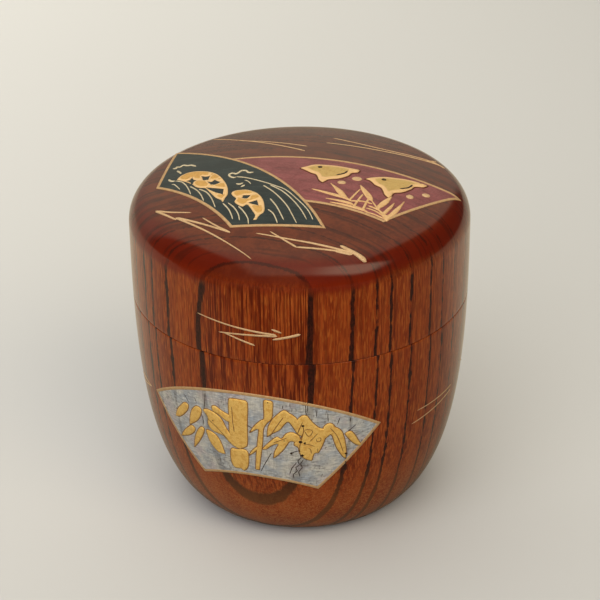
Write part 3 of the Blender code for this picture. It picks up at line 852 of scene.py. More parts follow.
# Half wheels in the waves: two cart wheels that turn half sunk in water, raised in gold on the
# indigo fan, with cream-coloured lines of water round them and curls of foam above.
WHEEL_HEIGHT = 0.27
WAVE_WIDTH = 0.26
FOAM_WIDTH = 0.5
STROKE_STEP = 0.3 * MM
STROKE_SIDES = 8
LARGE_WHEEL = (
    (-23.9, 1.6), (-23.9, 1.6), (-23.1, 3.1), (-21.4, 4.0), (-19.4, 3.7), (-17.4, 2.6), (-15.8, 0.8),
    (-14.6, -1.9), (-13.8, -5.0), (-13.7, -7.8), (-14.2, -9.3), (-14.6, -10.9), (-14.6, -10.9),
    (-15.0, -9.8), (-16.0, -8.7), (-16.9, -6.9), (-17.6, -5.4), (-18.2, -4.2), (-19.2, -3.8),
    (-20.1, -3.0), (-20.8, -1.7), (-22.1, -0.1),
)
LARGE_WHEEL_GAPS = (
    ((-22.1, 0.3), (-22.1, 0.3), (-21.3, 0.5), (-20.9, 1.3), (-20.9, 1.3), (-20.6, 0.3), (-19.8, -0.4),
     (-19.8, -0.4), (-20.5, -0.8), (-20.7, -1.7), (-20.7, -1.7), (-21.2, -0.7)),
    ((-19.0, 1.3), (-19.0, 1.3), (-18.2, 0.8), (-17.4, 0.9), (-17.4, 0.9), (-17.7, -0.9), (-17.7, -0.9),
     (-18.6, -0.9), (-18.6, -0.9)),
    ((-17.8, -1.5), (-17.8, -1.5), (-17.0, -1.9), (-16.4, -1.2), (-16.4, -1.2), (-15.9, -1.9),
     (-15.2, -2.6), (-15.2, -2.6), (-16.1, -3.4), (-17.0, -3.2), (-17.0, -3.2)),
    ((-18.0, -4.0), (-18.0, -4.0), (-16.3, -4.8), (-14.6, -5.6), (-14.6, -5.6), (-14.7, -7.7),
     (-14.7, -7.7), (-16.0, -6.7), (-17.2, -5.3)),
)
SMALL_WHEEL = (
    (-13.0, -7.5), (-12.1, -6.9), (-10.4, -6.9), (-8.9, -7.7), (-7.7, -9.1), (-6.9, -11.1), (-6.6, -13.4),
    (-6.7, -15.4), (-7.5, -16.4), (-8.1, -17.8), (-8.1, -17.8), (-8.8, -17.9), (-8.8, -17.9),
    (-8.4, -16.4), (-8.9, -14.9), (-9.5, -13.3), (-10.0, -12.4), (-10.8, -13.0), (-11.8, -12.1),
    (-12.4, -11.0), (-12.1, -9.9), (-12.8, -8.6),
)
SMALL_WHEEL_GAPS = (
    ((-10.9, -10.0), (-10.9, -10.0), (-10.7, -8.9), (-10.7, -8.9), (-9.3, -9.1), (-9.3, -9.1),
     (-10.0, -10.3)),
    ((-9.8, -11.9), (-9.8, -11.9), (-8.1, -11.1), (-8.1, -11.1), (-7.8, -13.1), (-7.8, -13.1),
     (-8.9, -12.5)),
)
FOAM = (
    ((-25.0, 8.0), (-24.4, 7.5), (-24.2, 8.2), (-23.5, 7.9), (-22.9, 8.6), (-22.1, 7.9), (-21.3, 7.8),
     (-20.3, 6.7)),
    ((-24.1, 6.2), (-23.5, 5.1), (-23.2, 4.3)),
    ((-8.8, 0.4), (-9.8, 0.3), (-10.3, 1.3), (-11.2, 1.5), (-11.7, 0.8), (-12.3, 0.3), (-13.0, 0.8),
     (-13.6, 0.3), (-13.4, -0.6), (-12.7, -1.3), (-12.2, -1.0)),
    ((-12.2, -3.9), (-11.5, -4.4), (-10.8, -3.9)),
    ((-11.3, -5.5), (-10.8, -5.2), (-10.4, -4.8)),
    ((-25.6, 2.7), (-25.0, 1.5), (-24.2, 1.3)),
)
WAVES = (
    ((-24.2, 1.3), (-22.8, 0.1), (-21.7, -2.5), (-20.9, -5.9)),
    ((-24.9, 0.1), (-24.2, -0.5), (-23.1, -3.0)),
    ((-21.2, -2.4), (-19.9, -4.3), (-18.9, -6.7), (-18.3, -9.2)),
    ((-19.4, -4.2), (-17.9, -5.9), (-16.8, -8.7), (-16.0, -12.2)),
    ((-14.6, -11.0), (-13.5, -13.3), (-12.9, -15.4), (-12.6, -17.0)),
    ((-13.6, -11.1), (-12.4, -13.1), (-11.6, -15.4), (-11.3, -17.6)),
    ((-11.6, -12.7), (-10.6, -14.7), (-9.8, -17.0), (-9.6, -19.0)),
    ((-12.2, -1.0), (-10.5, -1.7), (-8.1, -3.3), (-5.1, -5.6), (-2.6, -7.8), (-0.6, -11.1), (1.5, -15.1),
     (2.5, -18.5)),
    ((-6.9, -5.6), (-4.7, -8.8), (-2.5, -13.3), (-1.3, -17.1), (-0.6, -19.5)),
    ((-5.6, -5.6), (-3.2, -8.3), (-1.1, -12.0), (0.4, -15.5), (1.3, -18.4)),
    ((-5.6, -10.8), (-4.4, -13.6), (-3.5, -16.6), (-3.0, -18.4)),
    ((-6.0, -14.6), (-5.0, -16.1), (-4.4, -18.2), (-4.2, -19.3)),
    ((-10.6, -2.8), (-9.9, -3.4), (-9.3, -4.7)),
)


def curved(points, closed=False, steps=5):
    """A smooth line through points; a point given twice is a sharp corner."""
    points = [Vector(p) for p in points]
    last = len(points) - 1
    line = []
    for k in range(last + closed):
        around = range(k - 1, k + 3)
        p = [points[i % len(points) if closed else min(max(i, 0), last)] for i in around]
        if (p[2] - p[1]).length < SAME_POINT:
            continue
        for step in range(steps):
            t = step / steps
            line.append(tuple(
                p[1] + t * (p[2] - p[0]) / 2
                + t * t * (p[0] - 2.5 * p[1] + 2 * p[2] - 0.5 * p[3])
                + t ** 3 * (1.5 * p[1] - 1.5 * p[2] + 0.5 * p[3] - 0.5 * p[0])
            ))
    return line if closed else line + [tuple(points[-1])]


def stroke_tree():
    """Brushed lines: each is as wide as its points say, low and round, and pointed at its ends."""
    nodes, given = geometry_tree("brushed_lines", {
        "Drawing": "Object", "Step": "Float", "Sides": "Int", "Flatness": "Float", "Base": "Float",
        "Point Length": "Float", **BOARD,
    })
    line = nodes.get("GeometryNodeMeshToCurve", {}, {0: mesh_of(nodes, given["Drawing"])})
    resampling = {"Curve": line, "Length": given["Step"]}
    line = nodes.get("GeometryNodeResampleCurve", {"mode": "LENGTH"}, resampling)
    so_far = nodes.get("GeometryNodeSplineParameter", output="Length")
    whole = nodes.get("GeometryNodeSplineLength", output="Length")
    near_end = nodes.maths("MINIMUM", so_far, whole - so_far)
    open_ended = 1 - nodes.get("GeometryNodeInputSplineCyclic")
    short = (1 - nodes.maths("MINIMUM", near_end / given["Point Length"], 1.0)) * open_ended
    rounded = nodes.maths("SQRT", 1 - short * short)
    circle = {"Resolution": given["Sides"], "Radius": 1.0}
    shape = nodes.get("GeometryNodeCurveToMesh", {}, {
        "Curve": line, "Fill Caps": True,
        "Profile Curve": nodes.get("GeometryNodeCurvePrimitiveCircle", {"mode": "RADIUS"}, circle),
        "Scale": value_called(nodes, "half_width") * nodes.maths("MAXIMUM", rounded, 0.12),
    })
    x, y, high = nodes.apart(nodes.get("GeometryNodeInputPosition"))
    low_and_round = nodes.together(x, y, high * given["Flatness"] + given["Base"])
    press_on(nodes, given, moved(nodes, shape, low_and_round))
    return nodes.tree


strokes = stroke_tree()


def brushed(name, lines, board, finish, slot, replaced=(), base=0.0, flatness=0.5, point=0.7):
    """Lays lines, each its points, its width and whether it is closed, in millimetres."""
    points, edges, widths = [], [], []
    for line, width, closed in lines:
        first = len(points)
        points += [(x * MM, y * MM, 0.0) for x, y in line]
        edges += [(first + k, first + k + 1) for k in range(len(line) - 1)]
        if closed:
            edges.append((first + len(line) - 1, first))
        spread = width if isinstance(width, tuple) else (width, width)
        widths += list(np.linspace(spread[0], spread[1], len(line)) / 2 * MM)
    drawing = mesh_object("drawing", points, edges, half_width=widths)
    lay(name, strokes, drawing, board, finish, replaced, {
        "Step": STROKE_STEP, "Sides": STROKE_SIDES, "Flatness": flatness, "Base": base * MM,
        "Point Length": point * MM,
    })


cream = gold_lacquer("cream_gold_powder", colour(214, 200, 168), colour(176, 156, 122), 0.05)
wheel_gold = gold_lacquer(
    "wheel_gold", colour(212, 164, 90), colour(186, 136, 66), 0.1,
    rim=colour(228, 188, 132), rim_width=0.3,
)
for name, outline, gaps in (
    ("half_wheel_large", LARGE_WHEEL, LARGE_WHEEL_GAPS),
    ("half_wheel_small", SMALL_WHEEL, SMALL_WHEEL_GAPS),
):
    loops = [curved(outline, True)] + [curved(gap, True, steps=3) for gap in gaps]
    wheel = filled([loops], WHEEL_HEIGHT, edge=0.25)
    lay(name + "_gold", laying, wheel, ON_LID, wheel_gold, [name])
brushed(
    "waves_and_foam",
    [(curved(wave), (WAVE_WIDTH * 1.25, WAVE_WIDTH * 0.8), False) for wave in WAVES]
    + [(curved(curl), FOAM_WIDTH, False) for curl in FOAM],
    ON_LID, cream, "gold", base=INDIGO_TOP,
)

# Plovers over the reeds: two plump birds raised in gold on the crimson fan, each drawn round in
# dark brown, a line that is also painted shade along the lower edge of the raised gold, with an
# eye and the line of a wing, and four drops of foam between them.
PLOVER_HEIGHT = 0.29
OUTLINE_WIDTH = 0.42
PLOVERS = {
    "plover_left": (
        (0.2, 1.3), (0.2, 1.3), (1.4, 1.9), (2.9, 2.8), (4.8, 2.8), (7.3, 2.5), (9.5, 1.9), (11.9, 1.2),
        (11.9, 1.2), (11.5, 0.1), (10.3, -0.4), (9.5, -1.8), (7.7, -3.1), (5.7, -3.7), (4.5, -5.0),
        (4.5, -5.0), (3.8, -3.9), (3.3, -1.7), (2.4, -1.0), (1.2, 0.3),
    ),
    "plover_right": (
        (12.7, -2.6), (12.7, -2.6), (14.2, -1.7), (16.7, -0.9), (19.1, -0.8), (20.6, -0.8), (22.5, -1.1),
        (25.0, -2.0), (25.0, -2.0), (24.1, -3.0), (22.4, -3.4), (21.6, -4.7), (19.9, -6.4), (18.2, -7.2),
        (17.7, -8.4), (17.0, -9.3), (17.0, -9.3), (16.3, -8.2), (15.8, -5.8), (14.6, -4.7), (13.7, -3.1),
    ),
}
PLOVER_LINES = {
    "plover_left": ((4.1, 1.4), ((9.4, 0.2), (8.8, -1.0), (7.1, -2.1))),
    "plover_right": ((16.4, -2.4), ((21.9, -3.0), (21.0, -4.5), (19.3, -5.5))),
}
EYE_RADIUS = 0.5
WING_LINE = 0.42
DROP_HEIGHT = 0.2
# Each drop has the place of its middle and its two half widths.
DROPS = (
    (11.2, -2.7, 1.0, 0.8), (8.2, -4.6, 0.85, 0.65), (21.2, -7.7, 0.75, 0.75), (24.4, -6.1, 0.8, 0.7),
)


def ring_of(centre, radius, count):
    """A closed ring of points."""
    return arc(centre, radius, 0.0, 2 * pi * (count - 1) / count, count)


def drawn_lacquer(name, first, second):
    """Brown lacquer drawn with a fine brush, thicker in some places than in others."""
    made, nodes, shader = new_finish(name, {"Roughness": 0.35, "Specular IOR Level": 0.3})
    cloud = nodes.marks(place_in_mm(nodes), 1.4, 1.4)
    nodes.join(shader, "Base Color", nodes.blend(cloud, first, second))
    roughen(nodes, shader, cloud, RELIEF)
    return made


# The brown line round each plover is partly painted shade along the raised gold's lower edge.
brown = drawn_lacquer("brown_line_and_edge_shade_lacquer", colour(74, 34, 20), colour(104, 54, 30))
dark_brown = drawn_lacquer("dark_line_lacquer", colour(34, 22, 14), colour(60, 38, 22))
bird_gold = gold_lacquer(
    "plover_gold", colour(200, 168, 102), colour(176, 138, 74), 0.08,
    rim=colour(224, 182, 128), rim_width=0.65,
)
for name, outline in PLOVERS.items():
    bird = curved(outline, True)
    outline = [(bird, OUTLINE_WIDTH, True)]
    # The outline: a brown line that is also painted shade at the lower edge of the raised gold.
    brushed(name + "_outline", outline, ON_LID, brown, "gold", base=0.04, flatness=0.4)
    shape = filled([[bird]], PLOVER_HEIGHT, edge=0.45)
    lay(name + "_gold", laying, shape, ON_LID, bird_gold, [name])
    eye, wing = PLOVER_LINES[name]
    ring = ring_of(eye, EYE_RADIUS * 0.6, 16)
    brushed(
        name + "_eye_and_wing", [(ring, EYE_RADIUS * 0.8, True), (curved(wing), WING_LINE, False)],
        ON_LID, dark_brown, "gold", base=PLOVER_HEIGHT, flatness=0.35,
    )
drops = [
    [[(x + a * cos(k * pi / 12), y + b * sin(k * pi / 12)) for k in range(24)]]
    for x, y, a, b in DROPS
]
lay("drops_of_foam", laying, filled(drops, DROP_HEIGHT), ON_LID, pale_gold, [])

# Reeds: brushed in pale gold from one root at the lower edge of the crimson fan. The broad
# blades are filled shapes, and the thin stems are single strokes that cross them.
REED_HEIGHT = 0.17
REED_BLADES = (
    ((1.6, -7.1), (1.6, -7.1), (4.0, -8.0), (5.9, -8.8), (7.8, -9.6), (9.1, -10.4), (10.0, -11.7),
     (10.0, -11.7), (8.2, -10.7), (6.6, -10.0), (4.7, -9.0)),
    ((5.7, -4.3), (5.7, -4.3), (6.5, -5.6), (7.6, -7.0), (8.4, -8.2), (8.9, -9.5), (9.5, -11.2),
     (9.5, -11.2), (8.2, -10.2), (7.3, -8.8), (6.6, -6.8)),
    ((4.2, -10.7), (4.2, -10.7), (6.4, -11.1), (8.2, -11.5), (9.8, -12.1), (10.5, -13.2), (10.5, -13.2),
     (8.6, -12.4), (6.8, -11.7)),
    ((4.8, -12.0), (4.8, -12.0), (7.0, -12.4), (8.8, -12.8), (10.5, -13.5), (12.4, -14.5), (12.9, -15.1),
     (10.0, -14.0), (7.7, -13.1)),
    ((11.7, -5.0), (11.7, -5.0), (12.4, -6.1), (13.2, -7.6), (13.9, -9.2), (14.0, -10.8), (13.4, -10.8),
     (12.8, -9.9), (12.2, -8.3), (11.8, -6.6)),
    ((17.9, -8.3), (17.9, -8.3), (16.7, -9.5), (15.7, -10.8), (15.0, -12.0), (14.7, -12.8), (15.0, -13.7),
     (15.0, -13.7), (15.7, -12.9), (16.5, -11.9), (17.2, -10.5)),
    ((18.3, -10.4), (18.3, -10.4), (17.2, -12.1), (16.3, -13.6), (15.6, -14.9), (15.4, -15.8),
     (15.4, -15.8), (16.1, -15.4), (16.9, -14.1), (17.7, -12.4)),
    ((20.4, -9.0), (20.4, -9.0), (19.2, -11.2), (18.1, -12.9), (17.1, -14.7), (16.3, -16.0),
     (16.3, -17.2), (16.3, -17.2), (17.2, -16.1), (18.2, -14.8), (19.2, -12.7)),
    ((15.3, -14.7), (15.9, -15.2), (16.7, -15.6), (17.1, -16.3), (16.4, -17.5), (15.8, -16.7)),
)
REED_STEMS = (
    (((11.8, -6.7), (10.6, -9.1), (9.4, -11.6)), (0.26, 0.56)), (((12.2, -8.7), (11.2, -11.1),
    (10.2, -13.8)), (0.36, 0.6)), (((13.4, -9.8), (12.6, -12.2), (11.9, -14.7)), (0.42, 0.6)),
    (((9.6, -11.6), (11.2, -11.4), (12.4, -11.5), (13.9, -12.1)), (0.45, 0.4)), (((10.3, -13.3),
    (11.5, -13.9), (12.5, -14.4)), (0.4, 0.4)), (((13.7, -10.7), (14.5, -12.8), (15.2, -14.4),
    (16.2, -16.3)), (0.34, 0.5)), (((13.0, -12.8), (14.4, -13.6), (15.5, -14.7), (16.2, -16.3)),
    (0.4, 0.45)), (((12.5, -13.6), (14.4, -14.5), (16.1, -16.4)), (0.3, 0.4)), (((12.3, -15.0),
    (14.0, -15.6), (15.9, -16.8)), (0.34, 0.4)),
)
reed_gold = gold_lacquer("reed_gold", colour(224, 184, 130), colour(198, 150, 98), 0.08)
blades = filled([[curved(blade, True, steps=4)] for blade in REED_BLADES], REED_HEIGHT, edge=0.2)
lay("reeds_gold", laying, blades, ON_LID, reed_gold, ["reeds"])
stems = [(curved(line), width, False) for line, width in REED_STEMS]
brushed("reed_stems", stems, ON_LID, reed_gold, "gold", base=0.05)

# Pine needles: fine gold strokes in small sprays, scattered over the lid and the side. Each
# needle starts broad at its head and runs out to a point.
TOP_NEEDLES = {
    "pine_sprig_front_left": (
        (((-27.6, -9.4), (-26.2, -11.0), (-23.4, -14.2)), (0.75, 0.4)), (((-27.4, -9.6), (-24.4, -11.2),
        (-20.6, -12.6)), (0.6, 0.24)), (((-23.4, -13.5), (-18.2, -17.2), (-13.0, -21.0)), (0.6, 0.4)),
        (((-23.6, -13.4), (-16.4, -20.8), (-9.0, -29.0)), (0.6, 0.16)), (((-13.0, -21.0), (-15.8, -18.2),
        (-18.4, -15.0)), (0.5, 0.26)),
    ),
    "pine_sprig_front_right": (
        (((10.6, -28.1), (2.8, -25.6), (-2.5, -24.0), (-8.2, -21.9)), (0.6, 0.26)), (((9.8, -27.9),
        (3.4, -27.0), (-0.75, -26.5)), (0.5, 0.4)), (((-0.6, -26.6), (-3.0, -24.3), (-5.6, -21.6)),
        (0.5, 0.26)), (((12.2, -29.1), (10.4, -28.0), (7.4, -25.9)), (1.15, 0.7)), (((9.6, -28.2),
        (6.4, -27.6)), (0.8, 0.4)),
    ),
    "pine_sprig_back_left": (
        (((1.25, 10.5), (-8.0, 17.2), (-17.5, 23.5)), (0.34, 0.22)), (((1.75, 13.25), (-5.0, 16.5),
        (-12.0, 19.5)), (0.3, 0.2)),
    ),
    "pine_sprig_back_right": (
        (((29.0, 9.0), (25.5, 11.5), (16.0, 14.5), (7.0, 19.25)), (0.4, 0.22)), (((29.0, 9.2),
        (25.5, 10.75), (15.5, 13.3), (5.5, 15.75)), (0.4, 0.22)), (((27.6, 11.6), (25.4, 11.0)),
        (0.5, 0.4)),
    ),
}
SIDE_NEEDLES = {
    "pine_sprig_lid_side": (
        (((-7.9, 51.6), (-22.0, 52.4), (-35.4, 53.4)), (0.5, 0.18)), (((-7.6, 51.4), (-17.0, 51.1),
        (-27.4, 50.6)), (0.5, 0.24)), (((-15.0, 49.0), (-20.6, 49.9), (-26.0, 50.8)), (0.42, 0.24)),
        (((-6.2, 52.1), (-9.5, 52.8)), (0.42, 0.42)), (((-0.2, 51.9), (-4.6, 51.2), (-9.2, 50.6)),
        (0.62, 0.4)),
    ),
    "pine_sprig_right": (
        (((65.8, 28.8), (55.0, 28.9), (44.4, 29.0)), (0.28, 0.16)), (((65.8, 27.7), (54.0, 27.0),
        (42.5, 26.3)), (0.28, 0.16)), (((75.3, 31.5), (82.0, 29.2), (89.5, 27.0)), (0.28, 0.16)),
    ),
    "pine_sprig_left": (
        (((-67.0, 29.0), (-79.5, 28.2), (-90.0, 22.7)), (0.28, 0.16)), (((-67.0, 29.0), (-78.0, 27.0),
        (-88.0, 25.6)), (0.28, 0.16)),
    ),
}
SPRIG_AZIMUTHS = {"pine_sprig_lid_side": -18.0, "pine_sprig_right": 66.0, "pine_sprig_left": -78.0}
for name, needles in TOP_NEEDLES.items():
    lines = [(curved(line), widths, False) for line, widths in needles]
    brushed(name + "_gold", lines, ON_LID, pale_gold, "gold", [name], point=0.9)
for name, needles in SIDE_NEEDLES.items():
    middle = SPRIG_AZIMUTHS[name]
    wood, carrier = (lid, "lid") if name == "pine_sprig_lid_side" else (body, "body")
    board = on_side(wood, radians(middle), 0.0, carrier)
    lines = []
    for line, widths in needles:
        flat = [(radians(azimuth - middle) * WIDEST_RADIUS / MM, up) for azimuth, up in line]
        lines.append((curved(flat), widths, False))
    brushed(name + "_gold", lines, board, pale_gold, "gold", [name], point=0.9)

# Bamboo: a thick culm with a joint near its foot, a spray of leaves beside it and loose leaves
# round it, raised in gold on the silver fan and drawn round in dark brown.
BAMBOO_HEIGHT = 0.26
BAMBOO_LINE = 0.26
VEIN_WIDTH = 0.16
CRACK_WIDTH = 0.16
BAMBOO = {
    "bamboo_culm": (
        ((-4.6, -2.4), (-3.8, -1.85), (-2.1, -1.75), (-0.9, -1.95), (-0.7, -3.3), (-0.95, -7.0),
         (-1.2, -11.9), (-1.7, -12.9), (-2.7, -13.4), (-3.9, -13.0), (-4.8, -10.6), (-4.75, -6.1)),
        ((-10.5, -6.5), (-9.7, -6.0), (-8.8, -6.0), (-7.5, -6.4), (-6.3, -7.4), (-5.5, -9.1),
         (-4.4, -10.8), (-2.6, -13.4), (-3.9, -13.3), (-5.4, -12.1), (-6.2, -11.2), (-7.5, -11.0),
         (-8.8, -10.6), (-9.6, -9.4), (-9.5, -7.9)),
        ((-8.4, -4.9), (-7.5, -4.6), (-6.2, -5.3), (-4.4, -6.1), (-4.4, -7.5), (-5.7, -7.3), (-6.9, -6.4),
         (-8.2, -5.9)),
    ),
    "bamboo_culm_foot": (
        ((-4.8, -14.1), (-3.4, -13.8), (-2.0, -13.5), (-1.2, -14.4), (-1.45, -17.6), (-2.4, -19.0),
         (-3.0, -18.6), (-4.4, -18.6), (-5.0, -17.1)),
    ),
    "bamboo_spray": (
        ((2.5, -1.4), (3.4, -1.1), (4.2, -1.4), (4.2, -2.9), (3.9, -5.2), (2.9, -6.5), (2.2, -8.0),
         (1.9, -10.9), (1.4, -14.2), (0.8, -18.1), (0.8, -18.1), (0.0, -18.2), (0.0, -18.2), (0.4, -14.3),
         (0.9, -10.7), (1.2, -8.1), (0.2, -8.6), (-0.7, -9.3), (-0.7, -9.3), (0.3, -7.5), (1.7, -5.9),
         (2.4, -5.2)),
        ((2.8, -9.7), (2.8, -9.7), (3.1, -7.4), (3.9, -5.6), (4.9, -4.3), (6.3, -3.1), (7.4, -3.8),
         (8.5, -4.7), (9.2, -6.0), (9.8, -7.5), (9.6, -9.1), (9.6, -9.1), (8.8, -8.7), (7.9, -7.0),
         (7.1, -5.8), (6.3, -6.4), (5.3, -7.8), (3.8, -8.8)),
        ((1.6, -12.8), (1.6, -12.8), (2.9, -11.2), (4.6, -9.5), (5.6, -9.8), (6.5, -8.6), (7.7, -8.2),
         (9.0, -9.1), (9.1, -10.5), (8.3, -10.6), (7.2, -10.4), (6.0, -12.3), (4.8, -13.8), (3.8, -14.8),
         (3.8, -14.8), (4.1, -13.1), (4.9, -11.2), (3.7, -11.6), (2.5, -12.7)),
        ((8.8, -5.4), (9.3, -4.6), (10.0, -4.2), (10.7, -4.4), (11.3, -5.4), (12.2, -6.6), (13.1, -7.4),
         (14.1, -7.6), (14.2, -8.8), (13.9, -10.0), (13.4, -11.4), (13.0, -12.3), (12.4, -13.4),
         (12.4, -13.4), (11.7, -13.4), (11.1, -15.2), (11.1, -15.2), (10.5, -15.0), (9.9, -14.7),
         (9.3, -14.1), (8.8, -12.9), (8.7, -11.9), (7.9, -11.3), (7.9, -11.3), (8.2, -10.3), (9.2, -9.9),
         (9.5, -8.6), (9.2, -7.0)),
        ((13.6, -7.6), (14.2, -6.6), (15.0, -6.4), (15.6, -6.8), (15.9, -7.4), (16.6, -7.9), (17.2, -8.7),
         (17.5, -9.9), (17.7, -11.1), (17.8, -12.5), (17.8, -14.0), (17.6, -15.4), (17.6, -15.4),
         (17.1, -14.9), (16.5, -13.7), (16.0, -12.5), (15.6, -11.0), (15.4, -10.0), (15.0, -9.1),
         (14.4, -9.5), (13.9, -10.0), (13.9, -10.0)),
        ((1.2, -12.2), (0.7, -13.1), (-0.2, -14.1), (-1.2, -15.0), (-1.2, -15.0), (-0.4, -13.5),
         (0.6, -12.4)),
    ),
    "bamboo_leaf_1": (
        ((-18.4, -11.3), (-18.4, -11.3), (-17.7, -9.4), (-16.5, -7.8), (-15.3, -6.6), (-14.3, -6.8),
         (-14.6, -8.1), (-15.8, -9.7), (-17.2, -10.9)),
    ),
    "bamboo_leaf_2": (
        ((-14.4, -11.6), (-14.4, -11.6), (-14.0, -9.0), (-13.3, -7.3), (-12.2, -6.2), (-11.1, -6.4),
         (-11.1, -7.7), (-12.2, -9.7)),
    ),
    "bamboo_leaf_3": (
        ((-17.3, -15.8), (-17.3, -15.8), (-16.2, -13.9), (-14.8, -12.3), (-13.8, -11.5), (-13.0, -12.0),
         (-13.5, -13.2), (-14.9, -14.5)),
    ),
    "bamboo_leaf_4": (
        ((-13.8, -17.1), (-13.8, -17.1), (-13.3, -14.4), (-12.4, -12.2), (-11.4, -10.9), (-10.6, -11.2),
         (-11.2, -13.0), (-12.4, -15.2)),
    ),
    "bamboo_leaf_5": (
        ((-10.1, -11.1), (-8.2, -11.4), (-7.0, -12.9), (-6.2, -15.8), (-6.2, -15.8), (-7.6, -15.8),
         (-9.0, -14.5), (-9.8, -12.9)),
    ),
    "bamboo_leaf_6": (
        ((17.8, -9.3), (18.9, -8.9), (19.7, -10.0), (20.3, -11.4), (21.0, -12.9), (21.0, -12.9),
         (20.1, -12.6), (19.2, -11.8), (18.4, -10.6)),
    ),
}
LEAF_VEINS = (
    ((-9.6, -8.0), (-7.4, -9.6), (-5.2, -11.8)), ((3.4, -9.4), (4.6, -7.2), (6.2, -4.6)), ((3.9, -10.9),
    (5.2, -10.2), (6.8, -9.4)), ((14.9, -7.4), (16.2, -9.6), (17.2, -13.6)), ((10.0, -7.7), (10.7, -7.4),
    (11.6, -7.9), (10.8, -9.1), (10.0, -7.7)), ((12.4, -12.0), (12.3, -13.1)), ((12.4, -9.7),
    (12.9, -9.5), (13.1, -10.0), (12.7, -10.5), (12.2, -10.2), (12.3, -9.7)), ((9.8, -6.6), (9.9, -7.6),
    (9.7, -8.6), (9.3, -10.3)), ((9.2, -10.5), (9.0, -11.6), (8.9, -12.6)), ((10.5, -12.0), (11.0, -12.2),
    (11.1, -13.4)), ((8.6, -8.6), (9.8, -5.6)), ((10.9, -10.4), (12.6, -8.4)), ((9.7, -11.2),
    (10.6, -11.0), (11.9, -11.6)), ((-3.9, -3.6), (-3.9, -7.0), (-3.7, -9.6)),
)
CRACKS = (
    ((10.9, -0.9), (10.8, -2.6), (10.6, -3.9), (10.0, -5.0)), ((10.4, -0.9), (10.5, -2.7), (10.3, -4.1)),
    ((8.9, -13.2), (9.1, -14.4), (8.4, -15.2), (8.7, -16.2), (7.9, -16.9), (8.2, -17.8), (7.3, -18.7),
    (7.4, -19.8)), ((9.6, -14.8), (8.9, -15.9), (9.2, -16.9), (8.4, -18.0), (8.6, -19.4)), ((8.2, -15.6),
    (7.2, -17.0), (6.6, -18.8)), ((-9.8, -2.2), (-10.0, -4.4), (-10.4, -6.4), (-9.8, -7.6)),
    ((-11.0, -7.8), (-10.7, -9.2), (-10.9, -10.4)), ((17.8, -13.6), (17.6, -16.4)), ((-15.2, -4.7),
    (-14.1, -6.2)), ((-12.5, -4.4), (-12.0, -5.6)), ((14.6, -3.9), (14.6, -6.1)), ((16.9, -5.3),
    (16.3, -7.1)), ((18.9, -5.6), (19.0, -6.9)), ((18.2, -9.0), (19.1, -8.3), (20.1, -7.5)),
    ((7.2, -13.3), (8.8, -12.6)), ((6.2, -1.9), (6.0, -3.0)), ((12.6, -3.0), (12.4, -4.8)), ((1.0, -18.6),
    (2.1, -16.2), (3.5, -13.4)), ((-2.3, -6.8), (-1.2, -7.4), (0.0, -8.0)),
)
# Each speck has the place of its middle and its width.
SPECKS = (
    (9.8, -6.6, 0.34), (9.2, -10.4, 0.4), (10.0, -10.7, 0.3), (9.4, -13.7, 0.36), (8.9, -12.6, 0.26),
    (6.1, -10.2, 0.2), (17.7, -14.1, 0.32), (17.5, -16.2, 0.24), (-8.3, -8.2, 0.22), (-17.6, -9.0, 0.2),
    (3.3, -1.5, 0.2), (7.3, -13.2, 0.3),
)
drawn_brown = drawn_lacquer("bamboo_line_lacquer", colour(110, 74, 40), colour(140, 98, 56))

for name, outlines in BAMBOO.items():
    shapes = [[curved(outline, True)] for outline in outlines]
    lay(name + "_gold", laying, filled(shapes, BAMBOO_HEIGHT), ON_SILVER, gold, [name])
outlines = [curved(outline, True) for group in BAMBOO.values() for outline in group]
brushed(
    "bamboo_outlines", [(outline, BAMBOO_LINE, True) for outline in outlines],
    ON_SILVER, drawn_brown, "gold", base=0.06, flatness=0.35,
)
on_bamboo = {"base": BAMBOO_HEIGHT, "flatness": 0.3}
veins = [(curved(vein), VEIN_WIDTH, False) for vein in LEAF_VEINS]
brushed("bamboo_veins", veins, ON_SILVER, drawn_brown, "gold", **on_bamboo)
specks = [(ring_of((x, y), size / 2, 10), size, True) for x, y, size in SPECKS]
brushed("bamboo_specks", specks, ON_SILVER, dark_brown, "gold", **on_bamboo)
cracks = [(crack, CRACK_WIDTH, False) for crack in CRACKS]
brushed("silver_leaf_cracks", cracks, ON_SILVER, dark_brown, "silver", base=SILVER_TOP)

# Floor, light and camera: a pale table under soft light from the upper left and the back, seen
# from the front and a little above.
FLOOR_SIZE = 6.0
FLOOR_STEP = 0.5
CAMERA_AWAY = 450 * MM
CAMERA_RISE = radians(28.51)
CAMERA_ROLL = radians(-0.72)
CAMERA_LENS = 134.58
CAMERA_SENSOR = 36.0
LOOK_AT = Vector((-0.13 * MM, 0.0, 41 * MM))
LIT_PLACE = Vector((0.0, 0.0, 0.03))
PALE = colour(230, 230, 229)
# The colour that the table's painted shade fades to.
TABLE_PAINTED_SHADE = colour(178, 178, 177)
row = int(FLOOR_SIZE / FLOOR_STEP) + 1
places = [k * FLOOR_STEP - FLOOR_SIZE / 2 for k in range(row)]
corners = [k + j * row for j in range(row - 1) for k in range(row - 1)]
floor = mesh_object(
    "floor", [(x, y, 0.0) for y in places for x in places], (),
    [(k, k + 1, k + 1 + row, k + row) for k in corners],
)
paper, nodes, shader = new_finish("pale_table", {"Roughness": 0.75, "Specular IOR Level": 0.15})
floor_x, floor_y, _ = nodes.apart(nodes.get("ShaderNodeTexCoord", output="Object"))
# What the camera sees of the table: pale, with painted shade that darkens it towards the right and the
# front, where the light falls off.
seen = nodes.blend(0.39 + floor_y - floor_x * 0.5 - floor_x * floor_y * 7.5, TABLE_PAINTED_SHADE, PALE)
